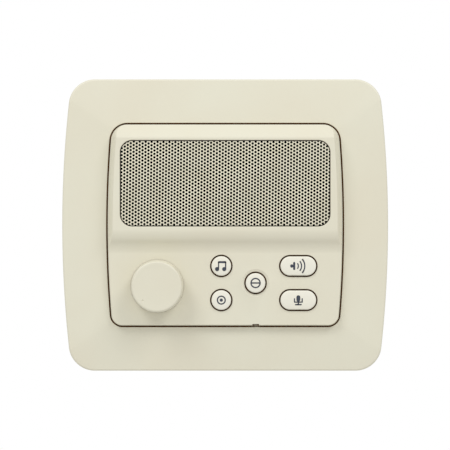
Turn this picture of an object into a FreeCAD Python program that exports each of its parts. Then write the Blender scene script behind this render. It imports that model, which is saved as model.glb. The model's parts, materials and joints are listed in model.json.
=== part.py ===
"""Wall intercom station: a speaker and key module in a wide trim frame.

X runs to the right, Z up and the wall is the plane y = 0. "Depth" is the distance in front
of the wall, so a point at depth d has y = -d and what is inside the wall has a negative depth.
All lengths are in millimetres.
"""
import FreeCAD, Part
import math
import os

import Sketcher

V = FreeCAD.Vector
FACING_FRONT = FreeCAD.Rotation(V(1, 0, 0), 90)
UPRIGHT = FreeCAD.Rotation()

doc = FreeCAD.newDocument("intercom_station")


# ---------------------------------------------------------------- sizes

SIZES = [
    ("trim_width", 204.5, "trim frame, across its bowed sides"),
    ("trim_height", 182.9, "trim frame, between its straight ends"),
    ("trim_corner", 16.0, "trim frame's corner radius"),
    ("trim_inner_depth", 8.0, "trim face beside the module"),
    ("trim_side_slope", 0.05, "fall of the trim's left and right faces, per mm"),
    ("trim_end_slope", 0.08, "fall of the trim's top and bottom faces, per mm"),
    ("trim_edge_round", 1.2, "round on the trim's outer edge"),
    ("trim_inner_round", 0.5, "round on the trim's inner edge"),
    ("side_bow", 700.0, "radius of the bowed sides"),
    ("module_width", 146.8, "bezel, across its bowed sides"),
    ("module_height", 125.7, "bezel, between its straight ends"),
    ("module_top_corner", 10.0, "bezel's upper corner radius"),
    ("module_bottom_corner", 6.7, "bezel's lower corner radius"),
    ("module_gap", 1.0, "shadow gap between trim and bezel"),
    ("shell_wall", 2.2, "wall of the two moulded front parts"),
    ("edge_depth", 11.0, "bezel's rim"),
    ("control_depth", 12.0, "bezel's flat control plane"),
    ("plateau_depth", 17.0, "bezel's raised speaker plateau"),
    ("side_bevel", 3.3, "width of the plateau's side bevels"),
    ("bevel_round", 0.8, "round where the side bevels meet the face"),
    ("top_bevel_depth", 10.5, "depth at which the top bevel meets the rim"),
    ("top_bevel_start", 7.9, "width of the top bevel"),
    ("top_bevel_round", 2.5, "round between plateau and top bevel"),
    ("scoop_top_z", -2.9, "upper end of the scoop under the plateau"),
    ("scoop_bottom_z", -17.9, "lower end of the scoop under the plateau"),
    ("grille_width", 131.2, "grille aperture"),
    ("grille_height", 53.8, "grille aperture"),
    ("grille_corner", 7.6, "grille aperture's corner radius"),
    ("grille_z", 26.0, "grille's centre"),
    ("grille_recess", 0.3, "grille face behind the plateau"),
    ("grille_gap", 0.6, "gap round the grille"),
    ("grille_sheet", 0.8, "thickness of the perforated sheet"),
    ("hole_pitch", 2.14, "distance between neighbouring perforations"),
    ("hole_bore", 1.6, "diameter of a perforation"),
    ("cloth_sheet", 0.4, "grille cloth's thickness"),
    ("cloth_gap", 0.1, "gap round the grille cloth"),
    ("seat_overlap", 3.1, "width of the seat under the grille's edge"),
    ("seat_wall", 1.5, "thickness of the seat under the grille"),
    ("bracket_sheet", 1.5, "mounting bracket's thickness"),
    ("bracket_width", 172.0, "mounting bracket"),
    ("bracket_height", 150.0, "mounting bracket"),
    ("bracket_corner", 8.0, "mounting bracket's corner radius"),
    ("wall_screw_span_x", 160.0, "wall screw holes, left to right"),
    ("wall_screw_span_z", 90.0, "wall screw holes, bottom to top"),
    ("wall_screw_hole", 4.5, "wall screw hole's diameter"),
    ("chassis_span_x", 133.0, "chassis screws, left to right"),
    ("chassis_span_z", 80.0, "chassis screws, bottom to top"),
    ("chassis_thread", 3.0, "chassis screw's thread diameter"),
    ("chassis_head", 6.0, "chassis screw's head diameter"),
    ("chassis_head_rise", 1.8, "chassis screw's head height"),
    ("chassis_length", 8.0, "chassis screw's length under its head"),
    ("box_width", 122.0, "rear housing's box, outside"),
    ("box_height", 114.0, "rear housing's box, outside"),
    ("box_corner", 5.0, "rear housing's corner radius"),
    ("box_reach", 30.0, "how far the rear housing goes into the wall"),
    ("box_wall", 2.0, "rear housing's wall"),
    ("flange_width", 146.0, "rear housing's flange"),
    ("flange_height", 126.0, "rear housing's flange"),
    ("flange_sheet", 2.0, "rear housing flange's thickness"),
    ("bracket_clearance", 1.0, "gap between the box and the bracket round it"),
    ("ledge_sheet", 1.8, "thickness of the trim's clamped ledge"),
    ("screw_clearance", 0.4, "clearance hole minus screw, on the diameter"),
    ("thread_clearance", 0.1, "threaded hole minus screw, on the diameter"),
    ("upper_hook_span", 90.0, "upper snap hooks, left to right"),
    ("lower_hook_span", 60.0, "lower snap hooks, left to right"),
    ("hook_width", 10.0, "snap hook's width"),
    ("hook_sheet", 1.5, "snap hook's thickness"),
    ("hook_reach", 6.0, "how far a snap hook goes behind the wall plane"),
    ("hook_barb", 1.2, "how far the barb stands out of its hook"),
    ("hook_gap", 0.2, "gap between a hook and the wall beside it"),
    ("barb_height", 3.0, "barb's length along the hook"),
    ("vent_count", 5, "vent slots in the rear housing's floor"),
    ("vent_length", 34.0, "vent slot"),
    ("vent_width", 3.0, "vent slot"),
    ("vent_pitch", 7.0, "distance between vent slots"),
    ("entry_bore", 8.0, "cable entry through the grommet"),
    ("entry_z", -30.0, "cable entry's height"),
    ("grommet_neck", 11.0, "grommet's waist diameter"),
    ("grommet_lip", 16.0, "grommet's lip diameter"),
    ("grommet_lip_sheet", 1.6, "grommet lip's thickness"),
    ("speaker_z", 25.5, "speaker's axis height"),
    ("speaker_frame", 62.0, "speaker's square flange"),
    ("speaker_corner", 4.0, "speaker flange's corner radius"),
    ("speaker_holes", 55.0, "distance between the speaker's screw holes"),
    ("speaker_screw", 2.6, "speaker screw's thread diameter"),
    ("speaker_screw_head", 5.0, "speaker screw's head diameter"),
    ("speaker_screw_rise", 1.5, "speaker screw's head height"),
    ("speaker_screw_length", 4.6, "speaker screw's length under its head"),
    ("speaker_boss", 5.6, "diameter of the bosses behind the plateau"),
    ("gasket_sheet", 3.0, "speaker gasket's thickness"),
    ("gasket_bore", 55.4, "speaker gasket's inner diameter"),
    ("gasket_rim", 59.4, "speaker gasket's outer diameter"),
    ("speaker_sheet", 1.0, "basket's metal thickness"),
    ("cone_mouth", 46.0, "cone's outer diameter"),
    ("cone_length", 10.0, "cone's height"),
    ("coil_bore", 14.0, "voice coil's inner diameter"),
    ("coil_wall", 0.5, "voice coil's thickness"),
    ("coil_length", 8.5, "voice coil's length"),
    ("coil_gap", 0.4, "gap on each side of the voice coil"),
    ("paper", 0.4, "thickness of cone, surround, spider and dust cap"),
    ("roll_radius", 1.75, "surround's half roll"),
    ("surround_lip", 1.3, "width of the surround's two glued lips"),
    ("basket_foot", 36.0, "basket's base diameter"),
    ("magnet_rim", 34.0, "magnet's diameter"),
    ("magnet_bore", 20.0, "magnet's inner diameter"),
    ("magnet_sheet", 6.0, "magnet's thickness"),
    ("plate_sheet", 2.0, "front plate's thickness"),
    ("yoke_sheet", 2.5, "back plate's thickness"),
    ("board_width", 112.0, "circuit board"),
    ("board_height", 44.0, "circuit board"),
    ("board_z", -30.5, "circuit board's centre"),
    ("board_sheet", 1.6, "circuit board's thickness"),
    ("board_depth", 1.8, "circuit board's front face"),
    ("board_post", 6.0, "diameter of the posts that carry the board"),
    ("board_screw", 2.6, "board screw's thread diameter"),
    ("board_screw_head", 5.0, "board screw's head diameter"),
    ("board_screw_rise", 1.6, "board screw's head height"),
    ("board_screw_length", 6.0, "board screw's length under its head"),
    ("high_post_x", 52.5, "upper board posts, from the middle"),
    ("high_post_z", -12.0, "upper board posts' height"),
    ("low_post_x", 24.5, "lower board posts, from the middle"),
    ("low_post_z", -48.5, "lower board posts' height"),
    ("knob_x", -42.4, "volume knob's axis"),
    ("knob_z", -38.2, "volume knob's axis"),
    ("knob_face", 31.4, "knob's diameter at its face"),
    ("knob_base", 33.0, "knob's diameter at its base"),
    ("knob_height", 14.1, "knob's height"),
    ("knob_gap", 0.4, "gap between knob and control plane"),
    ("knob_wall", 1.9, "knob's wall"),
    ("knob_round", 1.4, "round on the knob's front edge"),
    ("knob_boss", 10.0, "diameter of the boss inside the knob"),
    ("dimple_bore", 1.4, "knob's pointer dimple"),
    ("dimple_sink", 0.5, "pointer dimple's depth"),
    ("dimple_offset", 12.3, "pointer dimple's distance from the axis"),
    ("shaft_bore", 6.0, "potentiometer shaft's diameter"),
    ("shaft_flat", 1.5, "distance of the shaft's flat from its axis"),
    ("shaft_gap", 0.05, "radial running clearance of shafts and plungers"),
    ("pot_case", 17.0, "potentiometer case's diameter"),
    ("pot_wall", 1.2, "potentiometer case's wall"),
    ("bush_thread", 7.0, "bush diameter"),
    ("bush_length", 5.2, "bush length in front of the case"),
    ("washer_rim", 11.5, "pot washer's diameter"),
    ("washer_sheet", 0.6, "pot washer's thickness"),
    ("nut_flats", 10.0, "pot nut across flats"),
    ("nut_sheet", 2.0, "pot nut's thickness"),
    ("rotor_rim", 12.0, "rotor's diameter inside the pot"),
    ("rotor_sheet", 1.5, "rotor's thickness"),
    ("pin_bore", 0.9, "solder pins' diameter"),
    ("pin_pitch", 5.0, "distance between the pot's pins"),
    ("round_hole", 13.9, "round keys' hole diameter"),
    ("pill_length", 23.9, "long keys' hole"),
    ("pill_height", 13.6, "long keys' hole"),
    ("key_gap", 0.8, "gap round each key"),
    ("key_rise", 1.6, "how far a key stands out of the control plane"),
    ("key_edge", 0.9, "round on a key's front edge"),
    ("key_lip", 0.8, "how far a key's retaining lip laps under its hole"),
    ("key_lip_sheet", 1.0, "thickness of the retaining lip"),
    ("key_play", 0.3, "gap between a resting key's lip and the bezel"),
    ("key_wall", 1.3, "wall of the hollow keys"),
    ("key_stem", 4.6, "diameter of the stem inside a key"),
    ("key_travel", 1.0, "key travel"),
    ("left_keys_x", -2.4, "source and set keys"),
    ("middle_key_x", 19.0, "privacy key"),
    ("right_keys_x", 45.7, "listen and talk keys"),
    ("upper_keys_z", -25.6, "source and listen keys"),
    ("lower_keys_z", -46.9, "set and talk keys"),
    ("middle_key_z", -36.2, "privacy key"),
    ("dish_rim", 17.4, "shallow dish round the privacy key"),
    ("dish_sink", 0.35, "dish's depth at the hole"),
    ("switch_side", 6.0, "tact switch's square body"),
    ("switch_rise", 3.5, "tact switch's body height"),
    ("plunger_bore", 3.5, "tact switch plunger's diameter"),
    ("plunger_rise", 1.5, "plunger's height above its switch"),
    ("port_x", 19.1, "microphone port in the lower rim"),
    ("port_width", 4.1, "microphone port"),
    ("port_sink", 1.0, "microphone port's depth into the rim"),
    ("port_bore", 1.6, "sound hole between port and microphone"),
    ("mic_rim", 4.0, "microphone capsule's diameter"),
    ("mic_length", 2.6, "microphone capsule's length"),
    ("mic_depth", 7.1, "microphone axis in front of the wall"),
    ("boot_wall", 0.6, "wall of the microphone's rubber boot"),
    ("boot_snout", 3.2, "diameter of the boot's snout"),
    ("boot_nose_z", -58.8, "front end of the boot's wide part"),
    ("lead_bore", 1.2, "insulated leads' diameter"),
    ("lead_pitch", 5.0, "distance between the two speaker leads"),
    ("block_width", 31.0, "terminal block"),
    ("block_height", 9.0, "terminal block"),
    ("block_rise", 10.0, "terminal block"),
    ("block_x", 2.0, "terminal block's centre"),
    ("block_z", -40.0, "terminal block's centre"),
    ("terminal_count", 6, "terminals in the block"),
    ("terminal_pitch", 5.08, "distance between terminals"),
    ("terminal_screw", 3.0, "terminal screw's diameter"),
    ("terminal_entry", 2.6, "wire entry's side"),
    ("header_drop", 9.0, "lead header's distance below the board's upper edge"),
    ("header_height", 5.0, "lead header"),
    ("header_rise", 6.0, "lead header"),
    ("amplifier_length", 20.0, "amplifier chip"),
    ("amplifier_height", 7.0, "amplifier chip"),
    ("amplifier_rise", 3.6, "amplifier chip"),
    ("amplifier_x", -36.0, "amplifier chip's centre"),
    ("logic_length", 16.0, "logic chip"),
    ("logic_height", 9.0, "logic chip"),
    ("logic_rise", 2.6, "logic chip"),
    ("logic_x", 34.0, "logic chip's centre"),
    ("chip_z", -19.5, "height of both chips"),
    ("large_can", 8.0, "large capacitor's diameter"),
    ("large_can_rise", 12.0, "large capacitor's height"),
    ("large_can_x", -18.0, "large capacitor's axis"),
    ("small_can", 6.3, "small capacitors' diameter"),
    ("small_can_rise", 11.0, "small capacitors' height"),
    ("small_can_x", 13.0, "first small capacitor's axis"),
    ("small_can_pitch", 8.0, "distance between the small capacitors"),
    ("can_z", -20.5, "height of the capacitors"),
]

sheet = doc.addObject("Spreadsheet::Sheet", "Sizes")
for row, (alias, number, note) in enumerate(SIZES, start=1):
    sheet.set(f"A{row}", note)
    sheet.set(f"B{row}", str(number))
    sheet.setAlias(f"B{row}", alias)
doc.recompute()


class Size:
    """A number together with the expression that ties it to the sheet."""

    def __init__(self, number, text):
        self.number = number
        self.text = text

    @staticmethod
    def of(other):
        return other if isinstance(other, Size) else Size(float(other), f"{float(other):.12g}")

    def __float__(self):
        return float(self.number)

    def __neg__(self):
        return Size(-self.number, f"(0 - {self.text})")

    def __add__(self, other):
        other = Size.of(other)
        return Size(self.number + other.number, f"({self.text} + {other.text})")

    def __sub__(self, other):
        other = Size.of(other)
        return Size(self.number - other.number, f"({self.text} - {other.text})")

    def __mul__(self, other):
        other = Size.of(other)
        return Size(self.number * other.number, f"({self.text} * {other.text})")

    def __truediv__(self, other):
        other = Size.of(other)
        return Size(self.number / other.number, f"({self.text} / {other.text})")


class Sizes:
    """The sheet's cells as attributes: size.trim_width and so on."""

    def __getattr__(self, alias):
        return Size(float(sheet.get(alias)), f"Sizes.{alias}")


size = Sizes()


# ---------------------------------------------------------------- working methods

def bind(thing, prop, value):
    """Tie a property to the sheet, or set it where the value is a plain number."""
    thing.setExpression(prop, Size.of(value).text)


def put(thing, x, depth, z, rotation=UPRIGHT):
    """Place an object by its distance from the middle, the wall and the middle height."""
    thing.Placement = FreeCAD.Placement(V(), rotation)
    bind(thing, "Placement.Base.x", x)
    bind(thing, "Placement.Base.y", -Size.of(depth))
    bind(thing, "Placement.Base.z", z)


def new_body(label, x=0, depth=0, z=0):
    body = doc.addObject("PartDesign::Body", label)
    body.Label = label
    put(body, x, depth, z)
    return body


def new_sketch(body, name, role="XZ_Plane", offset=0):
    """A sketch on one of the body's own planes; on XZ_Plane the offset runs to the front."""
    sketch = body.newObject("Sketcher::SketchObject", name)
    plane = [feature for feature in body.Origin.OriginFeatures if feature.Role == role][0]
    sketch.AttachmentSupport = [(plane, "")]
    sketch.MapMode = "FlatFace"
    bind(sketch, "AttachmentOffset.Base.z", offset)
    return sketch


def fix_point(sketch, element, point, x, y):
    """Hold one point of a sketch element at x, y from the sketch's origin."""
    for kind, value in (("DistanceX", Size.of(x)), ("DistanceY", Size.of(y))):
        index = sketch.addConstraint(Sketcher.Constraint(kind, -1, 1, element, point, float(value)))
        bind(sketch, f"Constraints[{index}]", value)


def fix_radius(sketch, element, diameter):
    radius = Size.of(diameter) / 2
    index = sketch.addConstraint(Sketcher.Constraint("Radius", element, float(radius)))
    bind(sketch, f"Constraints[{index}]", radius)


def draw_polygon(sketch, corners):
    corners = [(Size.of(x), Size.of(y)) for x, y in corners]
    points = [V(float(x), float(y), 0) for x, y in corners]
    lines = [
        sketch.addGeometry(Part.LineSegment(start, end), False)
        for start, end in zip(points, points[1:] + points[:1])
    ]
    for line, following in zip(lines, lines[1:] + lines[:1]):
        sketch.addConstraint(Sketcher.Constraint("Coincident", line, 2, following, 1))
    for line, (x, y) in zip(lines, corners):
        fix_point(sketch, line, 1, x, y)


def draw_rectangle(sketch, width, height, x=0, y=0):
    x, y = Size.of(x), Size.of(y)
    left, right = x - Size.of(width) / 2, x + Size.of(width) / 2
    low, high = y - Size.of(height) / 2, y + Size.of(height) / 2
    draw_polygon(sketch, [(left, low), (right, low), (right, high), (left, high)])


def draw_circle(sketch, diameter, x=0, y=0):
    x, y, diameter = Size.of(x), Size.of(y), Size.of(diameter)
    circle = Part.Circle(V(float(x), float(y), 0), V(0, 0, 1), float(diameter) / 2)
    element = sketch.addGeometry(circle, False)
    fix_radius(sketch, element, diameter)
    fix_point(sketch, element, 3, x, y)


def draw_pill(sketch, length, height, x=0, y=0):
    """A rectangle with fully round ends."""
    x, y, length, height = (Size.of(value) for value in (x, y, length, height))
    shift, radius = (length - height) / 2, float(height) / 2
    left, right = V(float(x - shift), float(y), 0), V(float(x + shift), float(y), 0)
    up, turn = V(0, radius, 0), math.pi / 2
    left_end = Part.ArcOfCircle(Part.Circle(left, V(0, 0, 1), radius), turn, 3 * turn)
    right_end = Part.ArcOfCircle(Part.Circle(right, V(0, 0, 1), radius), -turn, turn)
    outline = [
        left_end,
        Part.LineSegment(left - up, right - up),
        right_end,
        Part.LineSegment(right + up, left + up),
    ]
    elements = [sketch.addGeometry(element, False) for element in outline]
    for element, following in zip(elements, elements[1:] + elements[:1]):
        sketch.addConstraint(Sketcher.Constraint("Tangent", element, 2, following, 1))
    sketch.addConstraint(Sketcher.Constraint("Equal", elements[0], elements[2]))
    fix_radius(sketch, elements[0], height)
    fix_point(sketch, elements[0], 3, x - shift, y)
    fix_point(sketch, elements[2], 3, x + shift, y)


def pad(body, sketch, length, name, reverse=False):
    """Thicken a sketch towards the front, or towards the wall where reversed."""
    feature = body.newObject("PartDesign::Pad", name)
    feature.Profile = sketch
    feature.Reversed = reverse
    bind(feature, "Length", length)
    sketch.Visibility = False
    doc.recompute()
    return feature


def pocket(body, sketch, length, name, reverse=False):
    """Cut a sketch away towards the wall, or towards the front where reversed."""
    volume = body.Shape.Volume
    feature = body.newObject("PartDesign::Pocket", name)
    feature.Profile = sketch
    feature.Reversed = reverse
    bind(feature, "Length", length)
    doc.recompute()
    if body.Shape.Volume > volume - 1e-4:
        raise RuntimeError(f"{body.Label}: {name} cuts nothing")
    return feature


def revolve(body, sketch, name):
    """Turn a sketch in the YZ plane a full turn about the horizontal axis."""
    feature = body.newObject("PartDesign::Revolution", name)
    feature.Profile = sketch
    feature.ReferenceAxis = (sketch, ["H_Axis"])
    feature.Angle = 360
    doc.recompute()
    return feature


def turned_body(label, corners, x=0, z=0):
    """A round piece about a line along the depth, from its (depth, radius) half section."""
    body = new_body(label, x, 0, z)
    section = new_sketch(body, f"{label}_section", "YZ_Plane")
    draw_polygon(section, [(-Size.of(depth), radius) for depth, radius in corners])
    revolve(body, section, f"{label}_turned")
    return body


def round_edges(body, radius, test, name):
    """Fillet the edges of the body's tip that pass the test."""
    edges = [
        f"Edge{number}"
        for number, edge in enumerate(body.Tip.Shape.Edges, start=1)
        if test(edge)
    ]
    feature = body.newObject("PartDesign::Fillet", name)
    feature.Base = (body.Tip if body.Tip != feature else feature.BaseFeature, edges)
    bind(feature, "Radius", radius)
    doc.recompute()
    return feature


def runs_in_depth(edge):
    """True for a straight edge that runs from back to front."""
    return edge.Length > 1e-6 and abs(edge.tangentAt(edge.FirstParameter).y) > 0.99


def lies_at(edge, depth):
    box = edge.BoundBox
    return abs(box.YMin + float(depth)) < 1e-4 and abs(box.YMax + float(depth)) < 1e-4


def cylinder(name, diameter, back, front, x=0, z=0):
    """A round bar along the depth, from depth back to depth front."""
    bar = doc.addObject("Part::Cylinder", name)
    bind(bar, "Radius", Size.of(diameter) / 2)
    bind(bar, "Height", Size.of(front) - back)
    put(bar, x, back, z, FACING_FRONT)
    return bar


def block(name, width, height, back, front, x=0, z=0):
    """A box centred on x and z, from depth back to depth front."""
    box = doc.addObject("Part::Box", name)
    bind(box, "Length", width)
    bind(box, "Height", height)
    bind(box, "Width", Size.of(front) - back)
    put(box, Size.of(x) - Size.of(width) / 2, front, Size.of(z) - Size.of(height) / 2)
    return box


def cut(name, base, tool):
    result = doc.addObject("Part::Cut", name)
    result.Base = base
    result.Tool = tool
    return result


def fuse(name, shapes):
    result = doc.addObject("Part::MultiFuse", name)
    result.Shapes = shapes
    return result


def group(label, members):
    """Several like pieces kept in one node."""
    result = doc.addObject("Part::Compound", label)
    result.Links = members
    result.Label = label
    return result


def screw(name, x, z, seat, thread, length, head, rise, to_front):
    """A pan-head screw with a cross recess; its head's underside lies at depth seat."""
    away = Size.of(-1 if to_front else 1)
    seat, rise = Size.of(seat), Size.of(rise)
    tip, top, floor = seat - away * length, seat + away * rise, seat + away * rise * 0.45
    spans = [(tip, seat, thread), (seat, top, head)]
    if to_front:
        spans = [(seat, tip, thread), (top, seat, head)]
    bars = [
        cylinder(f"{name}_{part}", diameter, back, front, x, z)
        for part, (back, front, diameter) in zip(("shank", "head"), spans)
    ]
    back, front = (top - 1, floor) if to_front else (floor, top + 1)
    arm, web = Size.of(head) * 0.6, Size.of(head) * 0.14
    recess = fuse(f"{name}_recess", [
        block(f"{name}_slot_across", arm, web, back, front, x, z),
        block(f"{name}_slot_up", web, arm, back, front, x, z),
    ])
    return cut(name, fuse(f"{name}_blank", bars), recess)


def corners_of(span_x, span_z, z=0):
    """The four corners of a rectangle of holes, as (x, z) pairs."""
    half_x, half_z, z = Size.of(span_x) / 2, Size.of(span_z) / 2, Size.of(z)
    return [(half_x * i, z + half_z * k) for i in (-1, 1) for k in (-1, 1)]


def finished(label, shape):
    """Keep a shape worked out with Part's own functions as a sub-part."""
    feature = doc.addObject("Part::Feature", label)
    feature.Label = label
    feature.Shape = shape
    feature.Placement = FreeCAD.Placement()
    return feature


# ---------------------------------------------------------------- stack of depths

bracket_front = size.bracket_sheet
flange_front = bracket_front + size.flange_sheet
ledge_front = flange_front + size.ledge_sheet
control_back = size.control_depth - size.shell_wall
grille_front = size.plateau_depth - size.grille_recess
grille_back = grille_front - size.grille_sheet
cloth_back = grille_back - size.cloth_sheet
seat_back = cloth_back - size.seat_wall
speaker_front = seat_back - size.gasket_sheet
basket_back = speaker_front - size.speaker_sheet
board_back = size.board_depth - size.board_sheet
box_back = -size.box_reach
box_floor = box_back + size.box_wall
switch_front = size.board_depth + size.switch_rise
plunger_front = switch_front + size.plunger_rise
key_lip_front = control_back - size.key_play
key_lip_back = key_lip_front - size.key_lip_sheet
key_front = size.control_depth + size.key_rise

chassis_places = corners_of(size.chassis_span_x, size.chassis_span_z)
speaker_places = corners_of(size.speaker_holes, size.speaker_holes, size.speaker_z)
board_places = [
    (size.high_post_x * side, size.high_post_z) for side in (-1, 1)
] + [
    (size.low_post_x * side, size.low_post_z) for side in (-1, 1)
]
KEYS = {
    "source": (size.left_keys_x, size.upper_keys_z, False),
    "set": (size.left_keys_x, size.lower_keys_z, False),
    "privacy": (size.middle_key_x, size.middle_key_z, False),
    "listen": (size.right_keys_x, size.upper_keys_z, True),
    "talk": (size.right_keys_x, size.lower_keys_z, True),
}
hook_rows = [(-1, size.lower_hook_span), (1, size.upper_hook_span)]
pin_places = [(size.knob_x + size.pin_pitch * step, size.knob_z) for step in (-1, 0, 1)]


# ---------------------------------------------------------------- outlines of the front parts

def corner_points(half, bow, radius, level):
    """Points of a right-hand corner: on the straight end, at its middle and on the bowed side."""
    bow_centre = half - bow
    centre_z = level - math.copysign(radius, level)
    centre_x = bow_centre + math.sqrt((bow - radius) ** 2 - centre_z ** 2)
    centre = V(centre_x, 0, centre_z)
    to_side = V(centre_x - bow_centre, 0, centre_z).normalize() * radius
    to_end = V(0, 0, math.copysign(radius, level))
    to_middle = (to_side + to_end).normalize() * radius
    return [centre + to_end, centre + to_middle, centre + to_side]


def panel_outline(width, height, top_corner, bottom_corner, depth, inset=0.0):
    """A panel's outline: straight ends, bowed sides and round corners, moved in by inset."""
    half = float(width) / 2 - inset
    bow = float(size.side_bow) - inset
    level = float(height) / 2 - inset
    top = corner_points(half, bow, float(top_corner) - inset, level)
    bottom = corner_points(half, bow, float(bottom_corner) - inset, -level)

    def at(point, side):
        return V(side * point.x, -float(depth), point.z)

    def side_edges(side):
        return [
            Part.Arc(*[at(point, side) for point in top]),
            Part.Arc(at(top[2], side), V(side * half, -float(depth), 0), at(bottom[2], side)),
            Part.Arc(*[at(point, side) for point in reversed(bottom)]),
        ]

    ends = [
        Part.LineSegment(at(top[0], -1), at(top[0], 1)),
        Part.LineSegment(at(bottom[0], 1), at(bottom[0], -1)),
    ]
    edges = [curve.toShape() for curve in ends + side_edges(1) + side_edges(-1)]
    return Part.Wire(Part.__sortEdges__(edges))


def forward(wire, length):
    """Extrude an outline to the front."""
    return Part.Face(wire).extrude(V(0, -float(length), 0))


def module_outline(depth, inset=0.0):
    return panel_outline(
        size.module_width, size.module_height,
        size.module_top_corner, size.module_bottom_corner, depth, inset,
    )


def opening_prism(back, front, growth=0.0):
    """The space of the trim's opening: the module's outline with the shadow gap round it."""
    return forward(module_outline(back, -float(size.module_gap) - growth), float(front) - float(back))


def rounded_block(width, height, corner, back, front, x=0.0, z=0.0):
    """A box along the depth with its four long edges rounded."""
    width, height, back, front = float(width), float(height), float(back), float(front)
    box = Part.makeBox(width, front - back, height, V(x - width / 2, -front, z - height / 2))
    return box.makeFillet(float(corner), [edge for edge in box.Edges if runs_in_depth(edge)])


def bar(diameter, back, front, x, z):
    """A round bar along the depth."""
    length = float(front) - float(back)
    return Part.makeCylinder(float(diameter) / 2, length, V(float(x), -float(back), float(z)), V(0, -1, 0))


def pill_bar(length, height, back, front, x, z):
    """A bar along the depth with a round-ended section."""
    shift = (float(length) - float(height)) / 2
    shape = Part.makeBox(
        2 * shift, float(front) - float(back), float(height),
        V(float(x) - shift, -float(front), float(z) - float(height) / 2),
    )
    for side in (-1, 1):
        shape = shape.fuse(bar(height, back, front, float(x) + side * shift, z))
    return shape.removeSplitter()


# ---------------------------------------------------------------- trim frame

def ridged_block(reach, inner, inner_depth, slope, across):
    """A long gable whose two faces fall away from the opening, left and right or up and down."""
    peak = inner_depth + slope * inner
    low = inner_depth - slope * (reach - inner)
    back = -float(size.bracket_sheet)
    profile = [(-reach, back), (reach, back), (reach, low), (0, peak), (-reach, low), (-reach, back)]
    if across:
        face = Part.Face(Part.makePolygon([V(x, -depth, -reach) for x, depth in profile]))
        return face.extrude(V(0, 0, 2 * reach))
    face = Part.Face(Part.makePolygon([V(-reach, -depth, z) for z, depth in profile]))
    return face.extrude(V(2 * reach, 0, 0))


def trim_form(inset):
    """The trim's solid form, with its walls moved in and its faces lowered by inset."""
    reach = float(size.trim_width) * 0.6
    face_depth = float(size.trim_inner_depth) - inset
    inner_x = float(size.module_width) / 2 + float(size.module_gap)
    inner_z = float(size.module_height) / 2 + float(size.module_gap)
    outline = panel_outline(
        size.trim_width, size.trim_height, size.trim_corner, size.trim_corner, 0, inset,
    )
    form = forward(outline, float(size.trim_inner_depth) * 2)
    form = form.common(ridged_block(reach, inner_x, face_depth, float(size.trim_side_slope), True))
    return form.common(ridged_block(reach, inner_z, face_depth, float(size.trim_end_slope), False))


def outline_edges(form, outline, min_depth):
    """The edges of a form's front that run along an outline."""
    chosen = []
    for edge in form.Edges:
        middle = edge.valueAt((edge.FirstParameter + edge.LastParameter) / 2)
        flat = Part.Vertex(V(middle.x, outline.BoundBox.YMin, middle.z))
        along = abs(edge.tangentAt(edge.FirstParameter).y) < 0.5
        if -middle.y > min_depth and along and outline.distToShape(flat)[0] < 0.01:
            chosen.append(edge)
    return chosen


def make_trim_frame():
    """A hollow moulded frame whose inner ledge is clamped under the chassis screws."""
    wall = float(size.shell_wall)
    high = float(size.trim_inner_depth) * 2
    outline = panel_outline(
        size.trim_width, size.trim_height, size.trim_corner, size.trim_corner, 0,
    )
    form = trim_form(0.0)
    form = form.makeFillet(float(size.trim_edge_round), outline_edges(form, outline, wall))
    form = form.cut(opening_prism(0, high))
    inner_line = module_outline(0, -float(size.module_gap))
    form = form.makeFillet(float(size.trim_inner_round), outline_edges(form, inner_line, wall))
    hollow = trim_form(wall).cut(opening_prism(flange_front, high, wall))
    hollow = hollow.fuse(opening_prism(0, flange_front, wall))
    ledge = opening_prism(flange_front, ledge_front, wall / 2)
    ledge = ledge.cut(rounded_block(
        size.box_width + size.bracket_clearance * 2, size.box_height + size.bracket_clearance * 4,
        size.box_corner, flange_front - 1, ledge_front + 1,
    ))
    frame = form.cut(hollow).fuse(ledge)
    for x, z in chassis_places:
        frame = frame.cut(bar(
            size.chassis_thread + size.screw_clearance, flange_front - 1, ledge_front + 1, x, z,
        ))
    return finished("trim_frame", frame.removeSplitter())


# ---------------------------------------------------------------- bezel

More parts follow.
